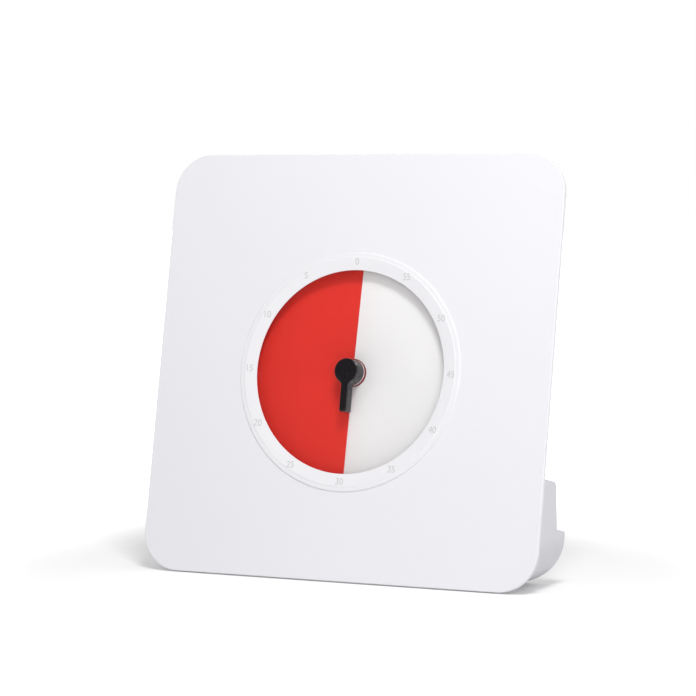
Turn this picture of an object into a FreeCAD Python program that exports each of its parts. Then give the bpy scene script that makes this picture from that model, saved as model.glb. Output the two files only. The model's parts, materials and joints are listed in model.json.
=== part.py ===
"""Visual countdown timer: a square white board with a 60 minute red disc in its middle.

Most pieces are drawn in the dial frame: its origin is the dial's centre on the board's front plane,
X points right, Y up the board and Z out of its front. The board and the pieces near its foot use the
board frame, whose origin is the middle of the board's lower front edge. The stand and its plate are
drawn upright. The finished object stands on Z = 0 with its origin at the middle of its footprint box.
"""
import FreeCAD, Part
import math
import os
import re

import Sketcher
from FreeCAD import Placement, Rotation, Vector

SIZES = {
    # board
    "board_size": 300.0,
    "board_thick": 3.0,
    "board_corner": 28.0,
    "board_edge_round": 0.8,
    "board_tilt": 11.2,
    "board_lift": 1.0,
    "dial_height": 145.8,
    "board_hole_radius": 79.0,
    # bezel ring, from its lip outwards
    "lip_radius": 71.5,
    "lip_thick": 0.7,
    "crest_radius": 80.2,
    "crest_rise": 1.8,
    "crest_round": 1.6,
    "ring_radius": 84.6,
    "skirt_radius": 78.7,
    "skirt_depth": 5.4,
    "throat_radius": 74.4,
    "recess_radius": 76.6,
    # window
    "lens_depth": 3.4,
    "lens_thick": 1.4,
    "lens_radius": 76.3,
    "lens_hole_radius": 9.9,
    # red disc and white face: one turn of a shallow helix each
    "disc_depth": 8.6,
    "helix_pitch": 1.8,
    "film_thick": 0.3,
    "face_thick": 0.8,
    "film_radius": 77.4,
    "face_radius": 78.6,
    "slot_half_angle": 0.4,
    "disc_gap": 0.4,
    # knob, collar and hub
    "head_radius": 9.0,
    "knob_front": 6.0,
    "knob_back": 3.0,
    "knob_bevel": 0.8,
    "pointer_width": 5.6,
    "pointer_reach": 28.5,
    "pointer_back": 2.6,
    "pointer_neck": 3.0,
    "collar_radius": 9.5,
    "hub_radius": 10.4,
    "hub_front": 6.0,
    "hub_back": 10.6,
    # arbor and its bearing
    "arbor_radius": 3.0,
    "arbor_front": 2.4,
    "arbor_shoulder": 18.6,
    "pivot_radius": 1.0,
    "running_gap": 0.05,
    "bush_radius": 5.0,
    "bush_flange_radius": 6.5,
    "bush_front": 10.9,
    "bush_back": 15.6,
    # round case behind the board
    "case_bore": 79.0,
    "case_wall": 2.0,
    "case_floor_depth": 11.6,
    "case_floor": 2.0,
    "case_round": 3.0,
    "flange_radius": 91.0,
    "flange_thick": 2.5,
    "case_screw_circle": 86.0,
    "saddle_gap": 1.0,
    "boss_radius": 3.0,
    "boss_gap": 0.3,
    # screws
    "screw_radius": 1.4,
    "screw_hole": 1.45,
    "screw_head_radius": 2.8,
    "screw_head": 1.6,
    "flange_head_radius": 4.6,
    "screw_skin": 1.2,
    # movement
    "movement_width": 56.0,
    "movement_corner": 4.0,
    "plate_thick": 1.6,
    "movement_back": 29.2,
    "movement_wall": 1.8,
    "movement_screw_place": 24.2,
    "movement_post": 3.6,
    "staff_radius": 0.6,
    "gear_module": 0.5,
    "drive_teeth": 36,
    "wheel_teeth": 30,
    "pinion_teeth": 6,
    "gear_thick": 1.4,
    "pinion_lead": 0.4,
    "pinion_extra": 0.6,
    "neck_radius": 1.1,
    "drive_gear_depth": 17.0,
    "wheel_one_depth": 19.4,
    "wheel_two_depth": 21.8,
    "clutch_gap": 0.2,
    "clutch_rim": 1.0,
    # motor: the stator is a flat ring of sheet round the rotor, with the coil on its lower core
    "rotor_radius": 3.0,
    "rotor_front": 16.5,
    "rotor_back": 20.5,
    "stator_gap": 0.6,
    "stator_front": 17.0,
    "stator_thick": 1.6,
    "stator_left": 6.1,
    "stator_right": 5.6,
    "stator_rise": 4.2,
    "stator_drop": 5.6,
    "stator_far": 13.0,
    "core_centre": 18.8,
    "core_half": 1.5,
    "return_centre": 11.9,
    "leg_left": 3.2,
    "leg_right": 3.5,
    "coil_width": 7.6,
    "coil_deep": 4.2,
    "coil_gap": 0.6,
    "coil_round": 1.0,
    "board_circuit_depth": 24.4,
    "circuit_thick": 1.4,
    # rear cover
    "cover_half": 48.0,
    "cover_corner": 12.0,
    "cover_wall": 2.0,
    "cover_back": 34.0,
    "cover_round": 1.5,
    "cover_post_place": 40.0,
    "cover_post_radius": 3.8,
    "cover_boss_back": 19.6,
    "cover_counterbore": 28.0,
    # battery bay
    "battery_radius": 7.1,
    "battery_length": 48.8,
    "battery_nub_radius": 2.7,
    "battery_nub": 1.0,
    "battery_height": 37.2,
    "battery_depth": 23.2,
    "tray_length": 58.0,
    "tray_wall": 1.6,
    "contact_thick": 0.5,
    "contact_half": 4.2,
    "contact_low": 1.0,
    "contact_high": 5.0,
    "spring_radius": 3.5,
    "spring_bore": 2.5,
    "door_half": 28.0,
    "door_flange": 2.0,
    "door_top": 27.6,
    "door_lip": 1.0,
    "door_outer": 1.3,
    "door_ledge": 0.4,
    "grip_half": 8.0,
    "grip_width": 1.2,
    "grip_deep": 0.5,
    "grip_first": 4.0,
    "grip_step": 3.0,
    "fit_gap": 0.3,
    # sound switch and sounder
    "switch_x": 22.0,
    "switch_y": 38.0,
    "switch_travel": 4.0,
    "switch_button": 4.4,
    "switch_height": 3.4,
    "switch_stand": 1.4,
    "switch_flange": 1.0,
    "switch_rim": 1.5,
    "sounder_x": 26.0,
    "sounder_y": 36.0,
    "sounder_radius": 9.0,
    "sounder_thick": 1.2,
    "sound_slot_half": 5.5,
    "sound_slot_width": 1.4,
    "sound_slot_step": 3.0,
    # stand
    "stand_height": 78.0,
    "stand_upper_depth": 39.3,
    "stand_lower_depth": 56.3,
    "stand_lean": 2.0,
    "ledge_height": 37.1,
    "stand_corner": 34.0,
    "stand_wall": 2.5,
    "stand_top_round": 5.0,
    "ledge_round": 1.0,
    "stand_screw_x": 105.0,
    "stand_screw_low": 22.0,
    "stand_screw_high": 58.0,
    "plate_margin": 6.0,
    "foot_length": 18.0,
    "foot_width": 7.0,
    "foot_x": 92.0,
    "foot_inset": 3.0,
}
# Counts, and angles in degrees.
CASE_SCREWS = 4
SOUND_SLOTS = 4
GRIP_LINES = 3
HEAD_SIDES = 12
SHANK_SIDES = 8
INTERMEDIATE_ANGLE = 135.0
HELIX_STEP = 12.0
DISC_TURN = -0.95
# A tooth's tip and root from the pitch circle, in modules, and half its tip's width in tooth pitches.
TOOTH_TIP = 0.6
TOOTH_ROOT = 1.3
TIP_SHARE = 0.06

doc = FreeCAD.newDocument("VisualTimer")
sheet = doc.addObject("Spreadsheet::Sheet", "Sizes")
for row, (name, size) in enumerate(SIZES.items(), start=1):
    sheet.set("A%d" % row, name)
    sheet.set("B%d" % row, repr(size))
    sheet.setAlias("B%d" % row, name)
doc.recompute()

nodes = {}
frames = {}


def bound(expression):
    """The same expression with every size's name pointing at its cell."""
    return re.sub(r"[a-z_]+", lambda m: "Sizes." + m[0] if m[0] in SIZES else m[0], str(expression))


def value(expression):
    """What an expression of sizes comes to now."""
    result = sheet.evalExpression(bound(expression))
    return float(getattr(result, "Value", result))


def keep(label, frame, item):
    """Name a finished sub-part and note the frame that it is drawn in."""
    item.Label = label
    nodes[label] = item
    frames[label] = frame
    return item


def new_body(label, frame):
    return keep(label, frame, doc.addObject("PartDesign::Body", label))


def sketch_on(body, role, level=None):
    """A sketch on one of the body's own planes, raised along the plane's normal."""
    plane = next(item for item in body.Origin.OriginFeatures if item.Role == role)
    sketch = body.newObject("Sketcher::SketchObject", "Sketch")
    sketch.AttachmentSupport = [(plane, "")]
    sketch.MapMode = "FlatFace"
    if level is not None:
        sketch.setExpression("AttachmentOffset.Base.z", bound(level))
    return sketch


def pin(sketch, kind, geometry, point, expression):
    """Hold a point of the sketch at a distance from its origin."""
    number = sketch.addConstraint(
        Sketcher.Constraint(kind, -1, 1, geometry, point, value(expression)))
    sketch.setExpression("Constraints[%d]" % number, bound(expression))


def outline(sketch, corners):
    """A closed outline of straight edges; each corner is a pair of expressions."""
    first = sketch.GeometryCount
    places = [Vector(value(across), value(up), 0) for across, up in corners]
    count = len(corners)
    for number in range(count):
        sketch.addGeometry(Part.LineSegment(places[number], places[(number + 1) % count]), False)
    for number in range(count):
        following = first + (number + 1) % count
        sketch.addConstraint(Sketcher.Constraint("Coincident", first + number, 2, following, 1))
    for number, (across, up) in enumerate(corners):
        pin(sketch, "DistanceX", first + number, 1, across)
        pin(sketch, "DistanceY", first + number, 1, up)
    return sketch


def circle(sketch, radius, across="0", up="0"):
    """A circle whose radius and centre are expressions."""
    centre = Vector(value(across), value(up), 0)
    number = sketch.addGeometry(Part.Circle(centre, Vector(0, 0, 1), value(radius)), False)
    held = sketch.addConstraint(Sketcher.Constraint("Radius", number, value(radius)))
    sketch.setExpression("Constraints[%d]" % held, bound(radius))
    pin(sketch, "DistanceX", number, 3, across)
    pin(sketch, "DistanceY", number, 3, up)
    return sketch


def box_corners(left, low, right, high):
    return [(left, low), (right, low), (right, high), (left, high)]


def square_corners(half):
    return box_corners("-(%s)" % half, "-(%s)" % half, half, half)


def pad(body, sketch, length, down=False):
    feature = body.newObject("PartDesign::Pad", "Pad")
    feature.Profile = sketch
    feature.setExpression("Length", bound(length))
    feature.Reversed = down
    doc.recompute()
    return feature


def pocket(body, sketch, length, up=False):
    """Cut along the sketch's normal and make sure that something was cut away."""
    before = body.Shape.Volume
    feature = body.newObject("PartDesign::Pocket", "Pocket")
    feature.Profile = sketch
    feature.setExpression("Length", bound(length))
    feature.Reversed = up
    doc.recompute()
    if not body.Shape.Volume < before - 1e-6:
        raise RuntimeError("a pocket cut nothing in " + body.Label)
    return feature


def revolve(body, corners):
    """A ring about Z; each corner is a radius and a height."""
    sketch = outline(sketch_on(body, "XZ_Plane"), corners)
    feature = body.newObject("PartDesign::Revolution", "Revolution")
    feature.Profile = sketch
    feature.ReferenceAxis = (sketch, ["V_Axis"])
    feature.Angle = 360.0
    doc.recompute()
    return feature


def round_edges(body, chosen, radius, kind="Fillet"):
    """Fillet or chamfer the edges of the body that the test picks."""
    base = body.Tip
    names = ["Edge%d" % number for number, edge in enumerate(base.Shape.Edges, start=1) if chosen(edge)]
    if not names:
        raise RuntimeError("no edge to round in " + body.Label)
    feature = body.newObject("PartDesign::" + kind, kind)
    feature.Base = (base, names)
    feature.setExpression("Radius" if kind == "Fillet" else "Size", bound(radius))
    doc.recompute()
    return feature


def runs_along(edge, axis):
    """True for a straight edge along the axis with that number, 0 to 2."""
    if not isinstance(edge.Curve, Part.Line):
        return False
    step = edge.Vertexes[-1].Point - edge.Vertexes[0].Point
    return abs(abs(step[axis]) - step.Length) < 1e-6


def lies_at(edge, axis, place):
    """True where the whole edge lies in one plane across an axis."""
    box = edge.BoundBox
    low = (box.XMin, box.YMin, box.ZMin)[axis]
    high = (box.XMax, box.YMax, box.ZMax)[axis]
    return abs(low - place) < 1e-4 and abs(high - place) < 1e-4


def circle_at(edge, radius, height):
    """True for a circular edge of that radius at that height."""
    curve = edge.Curve
    return (isinstance(curve, Part.Circle) and abs(curve.Radius - radius) < 1e-4
            and abs(curve.Center.z - height) < 1e-4)


def corners_of(place):
    """The four mirror images of a place in X and Y."""
    return [(across, up) for across in ("-(%s)" % place, place) for up in ("-(%s)" % place, place)]


def diagonal_of(place):
    """Two opposite corners."""
    return [("-(%s)" % place, place), (place, "-(%s)" % place)]


def screws(label, frame, places, top, head_radius, shank):
    """A group of like screws: heads behind the level called top, shanks pointing to the front."""
    group = []
    for across, up in places:
        parts = []
        for sides, radius, length, offset in ((HEAD_SIDES, head_radius, "screw_head", "-screw_head"),
                                              (SHANK_SIDES, "screw_radius", shank, "0")):
            rod = doc.addObject("Part::Prism", label + "_rod")
            rod.Polygon = sides
            rod.setExpression("Circumradius", bound(radius))
            rod.setExpression("Height", bound(length))
            rod.setExpression("Placement.Base.x", bound(across))
            rod.setExpression("Placement.Base.y", bound(up))
            rod.setExpression("Placement.Base.z", bound("-(%s) + %s" % (top, offset)))
            parts.append(rod)
        joined = doc.addObject("Part::MultiFuse", label + "_screw")
        joined.Shapes = parts
        group.append(joined)
    compound = doc.addObject("Part::Compound", label)
    compound.Links = group
    doc.recompute()
    return keep(label, frame, compound)


def stand_screw_places():
    """Where the stand is fastened, in the board frame."""
    return [(side + "stand_screw_x", height) for side in ("-", "")
            for height in ("stand_screw_low", "stand_screw_high")]


def make_front_panel():
    body = new_body("front_panel", "board")
    half = "board_size / 2"
    pad(body, outline(sketch_on(body, "XY_Plane"), box_corners("-" + half, "0", half, "board_size")),
        "board_thick", down=True)
    round_edges(body, lambda edge: runs_along(edge, 2), "board_corner")
    round_edges(body, lambda edge: lies_at(edge, 2, 0.0), "board_edge_round")
    pocket(body, circle(sketch_on(body, "XY_Plane"), "board_hole_radius", "0", "dial_height"), "board_thick")
    case_places = ring_places("case_screw_circle", CASE_SCREWS, "dial_height")
    for places, wall in ((stand_screw_places(), "stand_wall"), (case_places, "flange_thick")):
        bosses = sketch_on(body, "XY_Plane", "-board_thick")
        for across, up in places:
            circle(bosses, "boss_radius", across, up)
        pad(body, bosses, wall + " - boss_gap", down=True)
        holes = sketch_on(body, "XY_Plane", "-(board_thick + %s)" % wall)
        for across, up in places:
            circle(holes, "screw_hole", across, up)
        pocket(body, holes, "board_thick + %s - screw_skin" % wall, up=True)


def ring_places(radius, count, height="0"):
    """Places on a circle, the first one step off the vertical."""
    places = []
    for number in range(count):
        angle = 360.0 * (number + 0.5) / count
        places.append(("%s * sin(%g deg)" % (radius, angle),
                       "%s * cos(%g deg) + %s" % (radius, angle, height)))
    return places


def make_dial_ring():
    body = new_body("dial_ring", "dial")
    revolve(body, [
        ("lip_radius", "-lip_thick"), ("lip_radius", "0"), ("crest_radius", "crest_rise"),
        ("ring_radius", "0"), ("skirt_radius", "0"), ("skirt_radius", "-skirt_depth"),
        ("recess_radius", "-skirt_depth"), ("recess_radius", "-lens_depth"),
        ("throat_radius", "-lens_depth"), ("throat_radius", "-lip_thick")])
    crest = value("crest_radius")
    rise = value("crest_rise")
    round_edges(body, lambda edge: circle_at(edge, crest, rise), "crest_round")


def make_lens():
    body = new_body("dial_lens", "dial")
    sketch = circle(sketch_on(body, "XY_Plane", "-lens_depth"), "lens_radius")
    circle(sketch, "lens_hole_radius")
    pad(body, sketch, "lens_thick", down=True)


def helicoid(inner, outer, thick, start, end, level):
    """One turn of a flat helix: a loft through short upright sections along it."""
    pitch = value("helix_pitch")
    count = int(round((end - start) / HELIX_STEP))
    sections = []
    for number in range(count + 1):
        angle = start + (end - start) * number / count
        middle = level + pitch * angle / 360.0
        turn = math.radians(angle + DISC_TURN)
        outwards = Vector(-math.sin(turn), math.cos(turn), 0)
        corners = []
        for radius, side in ((inner, -1), (outer, -1), (outer, 1), (inner, 1)):
            corners.append(outwards * radius + Vector(0, 0, middle + side * thick / 2))
        sections.append(Part.makePolygon(corners + corners[:1]))
    return Part.makeLoft(sections, True, True)


def make_discs():
    """The red disc lies behind the face on one side and before it on the other."""
    level = -value("disc_depth")
    pitch = value("helix_pitch")
    inner = value("hub_radius + disc_gap")
    film = doc.addObject("Part::Feature", "time_disc")
    film.Shape = helicoid(inner, value("film_radius"), value("film_thick"), -180.0, 180.0, level)
    keep("time_disc", "dial", film)
    gap = value("slot_half_angle")
    outer, thick = value("face_radius"), value("face_thick")
    face = doc.addObject("Part::Feature", "face_disc")
    face.Shape = helicoid(inner, outer, thick, gap, 360.0 - gap, level - pitch / 2)
    keep("face_disc", "dial", face)


def make_knob():
    body = new_body("knob", "dial")
    pad(body, circle(sketch_on(body, "XY_Plane", "-knob_back"), "head_radius"), "knob_front + knob_back")
    half = "pointer_width / 2"
    pointer = outline(sketch_on(body, "XY_Plane", "-pointer_back"),
                      box_corners("-" + half, "-pointer_reach", half, "-head_radius / 2"))
    pad(body, pointer, "knob_front + pointer_back")
    reach = value("pointer_reach")
    radius = value("head_radius")

    def in_neck(edge):
        middle = edge.CenterOfMass
        return runs_along(edge, 2) and -reach + 1 < middle.y < -radius / 2 - 1

    round_edges(body, in_neck, "pointer_neck")
    tip_round = "pointer_width / 5"
    round_edges(body, lambda edge: runs_along(edge, 2) and edge.CenterOfMass.y < -reach + 0.1, tip_round)
    front = value("knob_front")
    round_edges(body, lambda edge: lies_at(edge, 2, front), "knob_bevel", kind="Chamfer")
    bore = circle(sketch_on(body, "XY_Plane", "-knob_back"), "arbor_radius + running_gap")
    pocket(body, bore, "knob_back + arbor_front + running_gap", up=True)


def make_hub_and_collar():
    for label, radius, front, back in (("hub_collar", "collar_radius", "knob_back", "hub_front"),
                                       ("film_hub", "hub_radius", "hub_front", "hub_back")):
        body = new_body(label, "dial")
        sketch = circle(sketch_on(body, "XY_Plane", "-" + front), radius)
        circle(sketch, "arbor_radius + running_gap")
        pad(body, sketch, "%s - %s" % (back, front), down=True)


def make_arbor():
    body = new_body("arbor", "dial")
    revolve(body, [
        ("0", "arbor_front"), ("arbor_radius", "arbor_front"), ("arbor_radius", "-arbor_shoulder"),
        ("pivot_radius", "-arbor_shoulder"), ("pivot_radius", "-(movement_back - movement_wall / 2)"),
        ("0", "-(movement_back - movement_wall / 2)")])


def make_bushing():
    body = new_body("arbor_bushing", "dial")
    bore = "arbor_radius + running_gap"
    revolve(body, [
        (bore, "-bush_front"), ("bush_flange_radius", "-bush_front"),
        ("bush_flange_radius", "-case_floor_depth"), ("bush_radius", "-case_floor_depth"),
        ("bush_radius", "-bush_back"), (bore, "-bush_back")])


def make_dial_case():
    body = new_body("dial_case", "dial")
    back = "-(case_floor_depth + case_floor)"
    outer = "case_bore + case_wall"
    revolve(body, [
        ("bush_radius + running_gap", "-case_floor_depth"), ("case_bore", "-case_floor_depth"),
        ("case_bore", "-board_thick"), ("flange_radius", "-board_thick"),
        ("flange_radius", "-(board_thick + flange_thick)"), (outer, "-(board_thick + flange_thick)"),
        (outer, back), ("bush_radius + running_gap", back)])
    rim = value(outer)
    level = value(back)
    round_edges(body, lambda edge: circle_at(edge, rim, level), "case_round", kind="Chamfer")
    holes = sketch_on(body, "XY_Plane", "-(board_thick + flange_thick)")
    for across, up in ring_places("case_screw_circle", CASE_SCREWS):
        circle(holes, "boss_radius + fit_gap", across, up)
    pocket(body, holes, "flange_thick", up=True)
    bosses = sketch_on(body, "XY_Plane", back)
    for across, up in corners_of("cover_post_place"):
        circle(bosses, "cover_post_radius", across, up)
    pad(body, bosses, "cover_boss_back - case_floor_depth - case_floor", down=True)
    pilots = sketch_on(body, "XY_Plane", "-cover_boss_back")
    for across, up in corners_of("cover_post_place"):
        circle(pilots, "screw_hole", across, up)
    pocket(body, pilots, "cover_boss_back - case_floor_depth - case_floor", up=True)
    movement = sketch_on(body, "XY_Plane", back)
    for across, up in diagonal_of("movement_screw_place"):
        circle(movement, "screw_hole", across, up)
    pocket(body, movement, "case_floor", up=True)


def make_movement():
    half = "movement_width / 2"
    front = "case_floor_depth + case_floor"
    plate_back = front + " + plate_thick"
    plate = new_body("movement_plate", "dial")
    pad(plate, outline(sketch_on(plate, "XY_Plane", "-(%s)" % front), square_corners(half)),
        "plate_thick", down=True)
    round_edges(plate, lambda edge: runs_along(edge, 2), "movement_corner")
    holes = circle(sketch_on(plate, "XY_Plane", "-(%s)" % front), "bush_radius + running_gap")
    for across, up in diagonal_of("movement_screw_place"):
        circle(holes, "screw_hole", across, up)
    for across, up in staff_places():
        circle(holes, "staff_radius + running_gap", across, up)
    pocket(plate, holes, "plate_thick")

    shell = new_body("movement_case", "dial")
    pad(shell, outline(sketch_on(shell, "XY_Plane", "-(%s)" % plate_back), square_corners(half)),
        "movement_back - (%s)" % plate_back, down=True)
    round_edges(shell, lambda edge: runs_along(edge, 2), "movement_corner")
    inner = "movement_width / 2 - movement_wall"
    corner = "movement_screw_place - movement_post"
    hollow = outline(sketch_on(shell, "XY_Plane", "-(%s)" % plate_back), [
        ("-(%s)" % corner, "-(%s)" % inner), (corner, "-(%s)" % inner), (corner, "-(%s)" % corner),
        (inner, "-(%s)" % corner), (inner, corner), (corner, corner), (corner, inner),
        ("-(%s)" % corner, inner), ("-(%s)" % corner, corner), ("-(%s)" % inner, corner),
        ("-(%s)" % inner, "-(%s)" % corner), ("-(%s)" % corner, "-(%s)" % corner)])
    pocket(shell, hollow, "movement_back - (%s) - movement_wall" % plate_back)
    bores = sketch_on(shell, "XY_Plane", "-(%s)" % plate_back)
    for across, up in diagonal_of("movement_screw_place"):
        circle(bores, "screw_hole", across, up)
    pocket(shell, bores, "movement_back - (%s)" % plate_back)
    bearings = circle(sketch_on(shell, "XY_Plane", "-(movement_back - movement_wall)"),
                      "pivot_radius + running_gap")
    for across, up in staff_places():
        circle(bearings, "staff_radius + running_gap", across, up)
    pocket(shell, bearings, "movement_wall * 2 / 3")
    screws("movement_screws", "dial", diagonal_of("movement_screw_place"), "movement_back",
           "screw_head_radius", "movement_back - case_floor_depth - fit_gap")


def gear_step(first, second):
    """The distance of two meshed gears' axes, as an expression."""
    return "gear_module * (%s + %s) / 2" % (first, second)


def staff_places():
    """The three staffs of the train: intermediate, second and rotor."""
    first = gear_step("drive_teeth", "pinion_teeth")
    next_step = gear_step("wheel_teeth", "pinion_teeth")
    turn = "%g deg" % INTERMEDIATE_ANGLE
    one = ("%s * cos(%s)" % (first, turn), "%s * sin(%s)" % (first, turn))
    two = ("%s - %s" % (one[0], next_step), one[1])
    three = (two[0], "%s - %s" % (two[1], next_step))
    return [one, two, three]


def tooth_outline(teeth, centre, turn):
    """The closed outline of a fine gear: narrow tips, and the flanks meet at the root."""
    module = value("gear_module")
    pitch_radius = module * teeth / 2
    tip = pitch_radius + TOOTH_TIP * module
    root = pitch_radius - TOOTH_ROOT * module
    points = []
    for number in range(int(teeth)):
        middle = turn + 360.0 * number / teeth
        for radius, share in ((root, -0.5), (tip, -TIP_SHARE), (tip, TIP_SHARE)):
            angle = math.radians(middle + share * 360.0 / teeth)
            points.append(centre + Vector(radius * math.cos(angle), radius * math.sin(angle), 0))
    return Part.Face(Part.makePolygon(points + points[:1]))


def gear_solid(teeth, centre, turn, front, thick, bore):
    """A toothed wheel whose front is that deep behind the board."""
    solid = tooth_outline(teeth, centre, turn).extrude(Vector(0, 0, -thick))
    solid.translate(Vector(0, 0, -front))
    if bore > 0:
        hole = Part.makeCylinder(bore, thick + 2, centre + Vector(0, 0, -front - thick - 1))
        solid = solid.cut(hole)
    return solid


def make_train():
    """Drive gear, two wheels with pinions and the rotor, each in mesh with the next."""
    drive_teeth = int(value("drive_teeth"))
    wheel_teeth = int(value("wheel_teeth"))
    pinion_teeth = int(value("pinion_teeth"))
    thick = value("gear_thick")
    drive = value("drive_gear_depth")
    one, two = value("wheel_one_depth"), value("wheel_two_depth")
    staff = value("staff_radius")
    front = value("case_floor_depth + case_floor + plate_thick / 3")
    back = value("movement_back - movement_wall / 2")
    centres = [Vector(value(across), value(up), 0) for across, up in staff_places()]
    lead = value("pinion_lead")
    long = thick + value("pinion_extra")
    pinion_half = 180.0 / pinion_teeth

    def staff_at(centre):
        return Part.makeCylinder(staff, back - front, centre + Vector(0, 0, -back))

    def neck_at(centre, near, far):
        return Part.makeCylinder(value("neck_radius"), far - near, centre + Vector(0, 0, -far))

    def set_node(label, shape):
        feature = doc.addObject("Part::Feature", label)
        feature.Shape = shape
        keep(label, "dial", feature)

    set_node("drive_gear", gear_solid(drive_teeth, Vector(), INTERMEDIATE_ANGLE, drive, thick,
                                      value("arbor_radius + running_gap")))

    towards_drive = INTERMEDIATE_ANGLE + 180.0
    pinion = gear_solid(pinion_teeth, centres[0], towards_drive + pinion_half, drive - lead, long, 0)
    wheel = gear_solid(wheel_teeth, centres[0], 180.0, one, thick, 0)
    parts = [wheel, neck_at(centres[0], drive, one), staff_at(centres[0])]
    set_node("intermediate_gear", pinion.fuse(parts).removeSplitter())

    pinion = gear_solid(pinion_teeth, centres[1], pinion_half, one - lead, long, 0)
    wheel = gear_solid(wheel_teeth, centres[1], 270.0, two, thick, 0)
    parts = [wheel, neck_at(centres[1], one, two), staff_at(centres[1])]
    set_node("second_gear", pinion.fuse(parts).removeSplitter())

    pinion = gear_solid(pinion_teeth, centres[2], 90.0 + pinion_half, two - lead, long, 0)
    low, high = value("rotor_back"), value("rotor_front")
    magnet = Part.makeCylinder(value("rotor_radius"), low - high, centres[2] + Vector(0, 0, -low))
    set_node("rotor", pinion.fuse([magnet, staff_at(centres[2])]).removeSplitter())

    spring = new_body("clutch_spring", "dial")
    sketch = circle(sketch_on(spring, "XY_Plane", "-(bush_back + clutch_gap)"), "bush_radius + clutch_rim")
    circle(sketch, "arbor_radius + running_gap")
    pad(spring, sketch, "drive_gear_depth - bush_back - clutch_gap", down=True)


def make_motor():
    """A flat stator round the rotor, with the coil on its lower core."""
    across, up = staff_places()[2]
    body = new_body("motor_stator", "dial")
    left, right, far = across + " - stator_left", across + " + stator_right", "stator_far"
    top, window_top = up + " + stator_rise", up + " - stator_drop"
    inner_left, inner_far, inner_right = left + " + leg_left", far + " - leg_left", right + " - leg_right"
    core_low, core_high = "-core_centre - core_half", "-core_centre + core_half"
    return_low, return_high = "-return_centre - core_half", "-return_centre + core_half"
    pad(body, outline(sketch_on(body, "XY_Plane", "-stator_front"), [
        (left, top), (left, core_low), (far, core_low), (far, return_high), (right, return_high),
        (right, top)]), "stator_thick", down=True)
    pocket(body, outline(sketch_on(body, "XY_Plane", "-stator_front"), [
        (inner_left, core_high), (inner_far, core_high), (inner_far, return_low), (inner_right, return_low),
        (inner_right, window_top), (inner_left, window_top)]), "stator_thick")
    bore = circle(sketch_on(body, "XY_Plane", "-stator_front"), "rotor_radius + stator_gap", across, up)
    pocket(body, bore, "stator_thick")

    coil = new_body("motor_coil", "dial")
    level = "(-(stator_front + stator_thick / 2))"
    start, stop = inner_left + " + coil_gap", inner_far + " - coil_gap"
    sketch = sketch_on(coil, "YZ_Plane", start)
    outline(sketch, box_corners("-core_centre - coil_width / 2", level + " - coil_deep / 2",
                                "-core_centre + coil_width / 2", level + " + coil_deep / 2"))
    outline(sketch, box_corners("-core_centre - core_half - running_gap",
                                level + " - stator_thick / 2 - running_gap",
                                "-core_centre + core_half + running_gap",
                                level + " + stator_thick / 2 + running_gap"))
    pad(coil, sketch, "(%s) - (%s)" % (stop, start))
    centre, reach = value("core_centre"), value("coil_width / 2")

    def on_outside(edge):
        return runs_along(edge, 0) and abs(abs(edge.CenterOfMass.y + centre) - reach) < 1e-3

    round_edges(coil, on_outside, "coil_round")


def make_circuit():
    body = new_body("circuit_board", "dial")
    half = "(movement_width / 2 - movement_wall - fit_gap)"
    short = "(movement_screw_place - movement_post - fit_gap)"
    level = "-board_circuit_depth"
    corners = box_corners("-" + short, "-" + half, short, half)
    pad(body, outline(sketch_on(body, "XY_Plane", level), corners), "circuit_thick", down=True)
    holes = circle(sketch_on(body, "XY_Plane", level), "pivot_radius * 2")
    for across, up in staff_places():
        circle(holes, "staff_radius * 2", across, up)
    pocket(body, holes, "circuit_thick")


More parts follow.
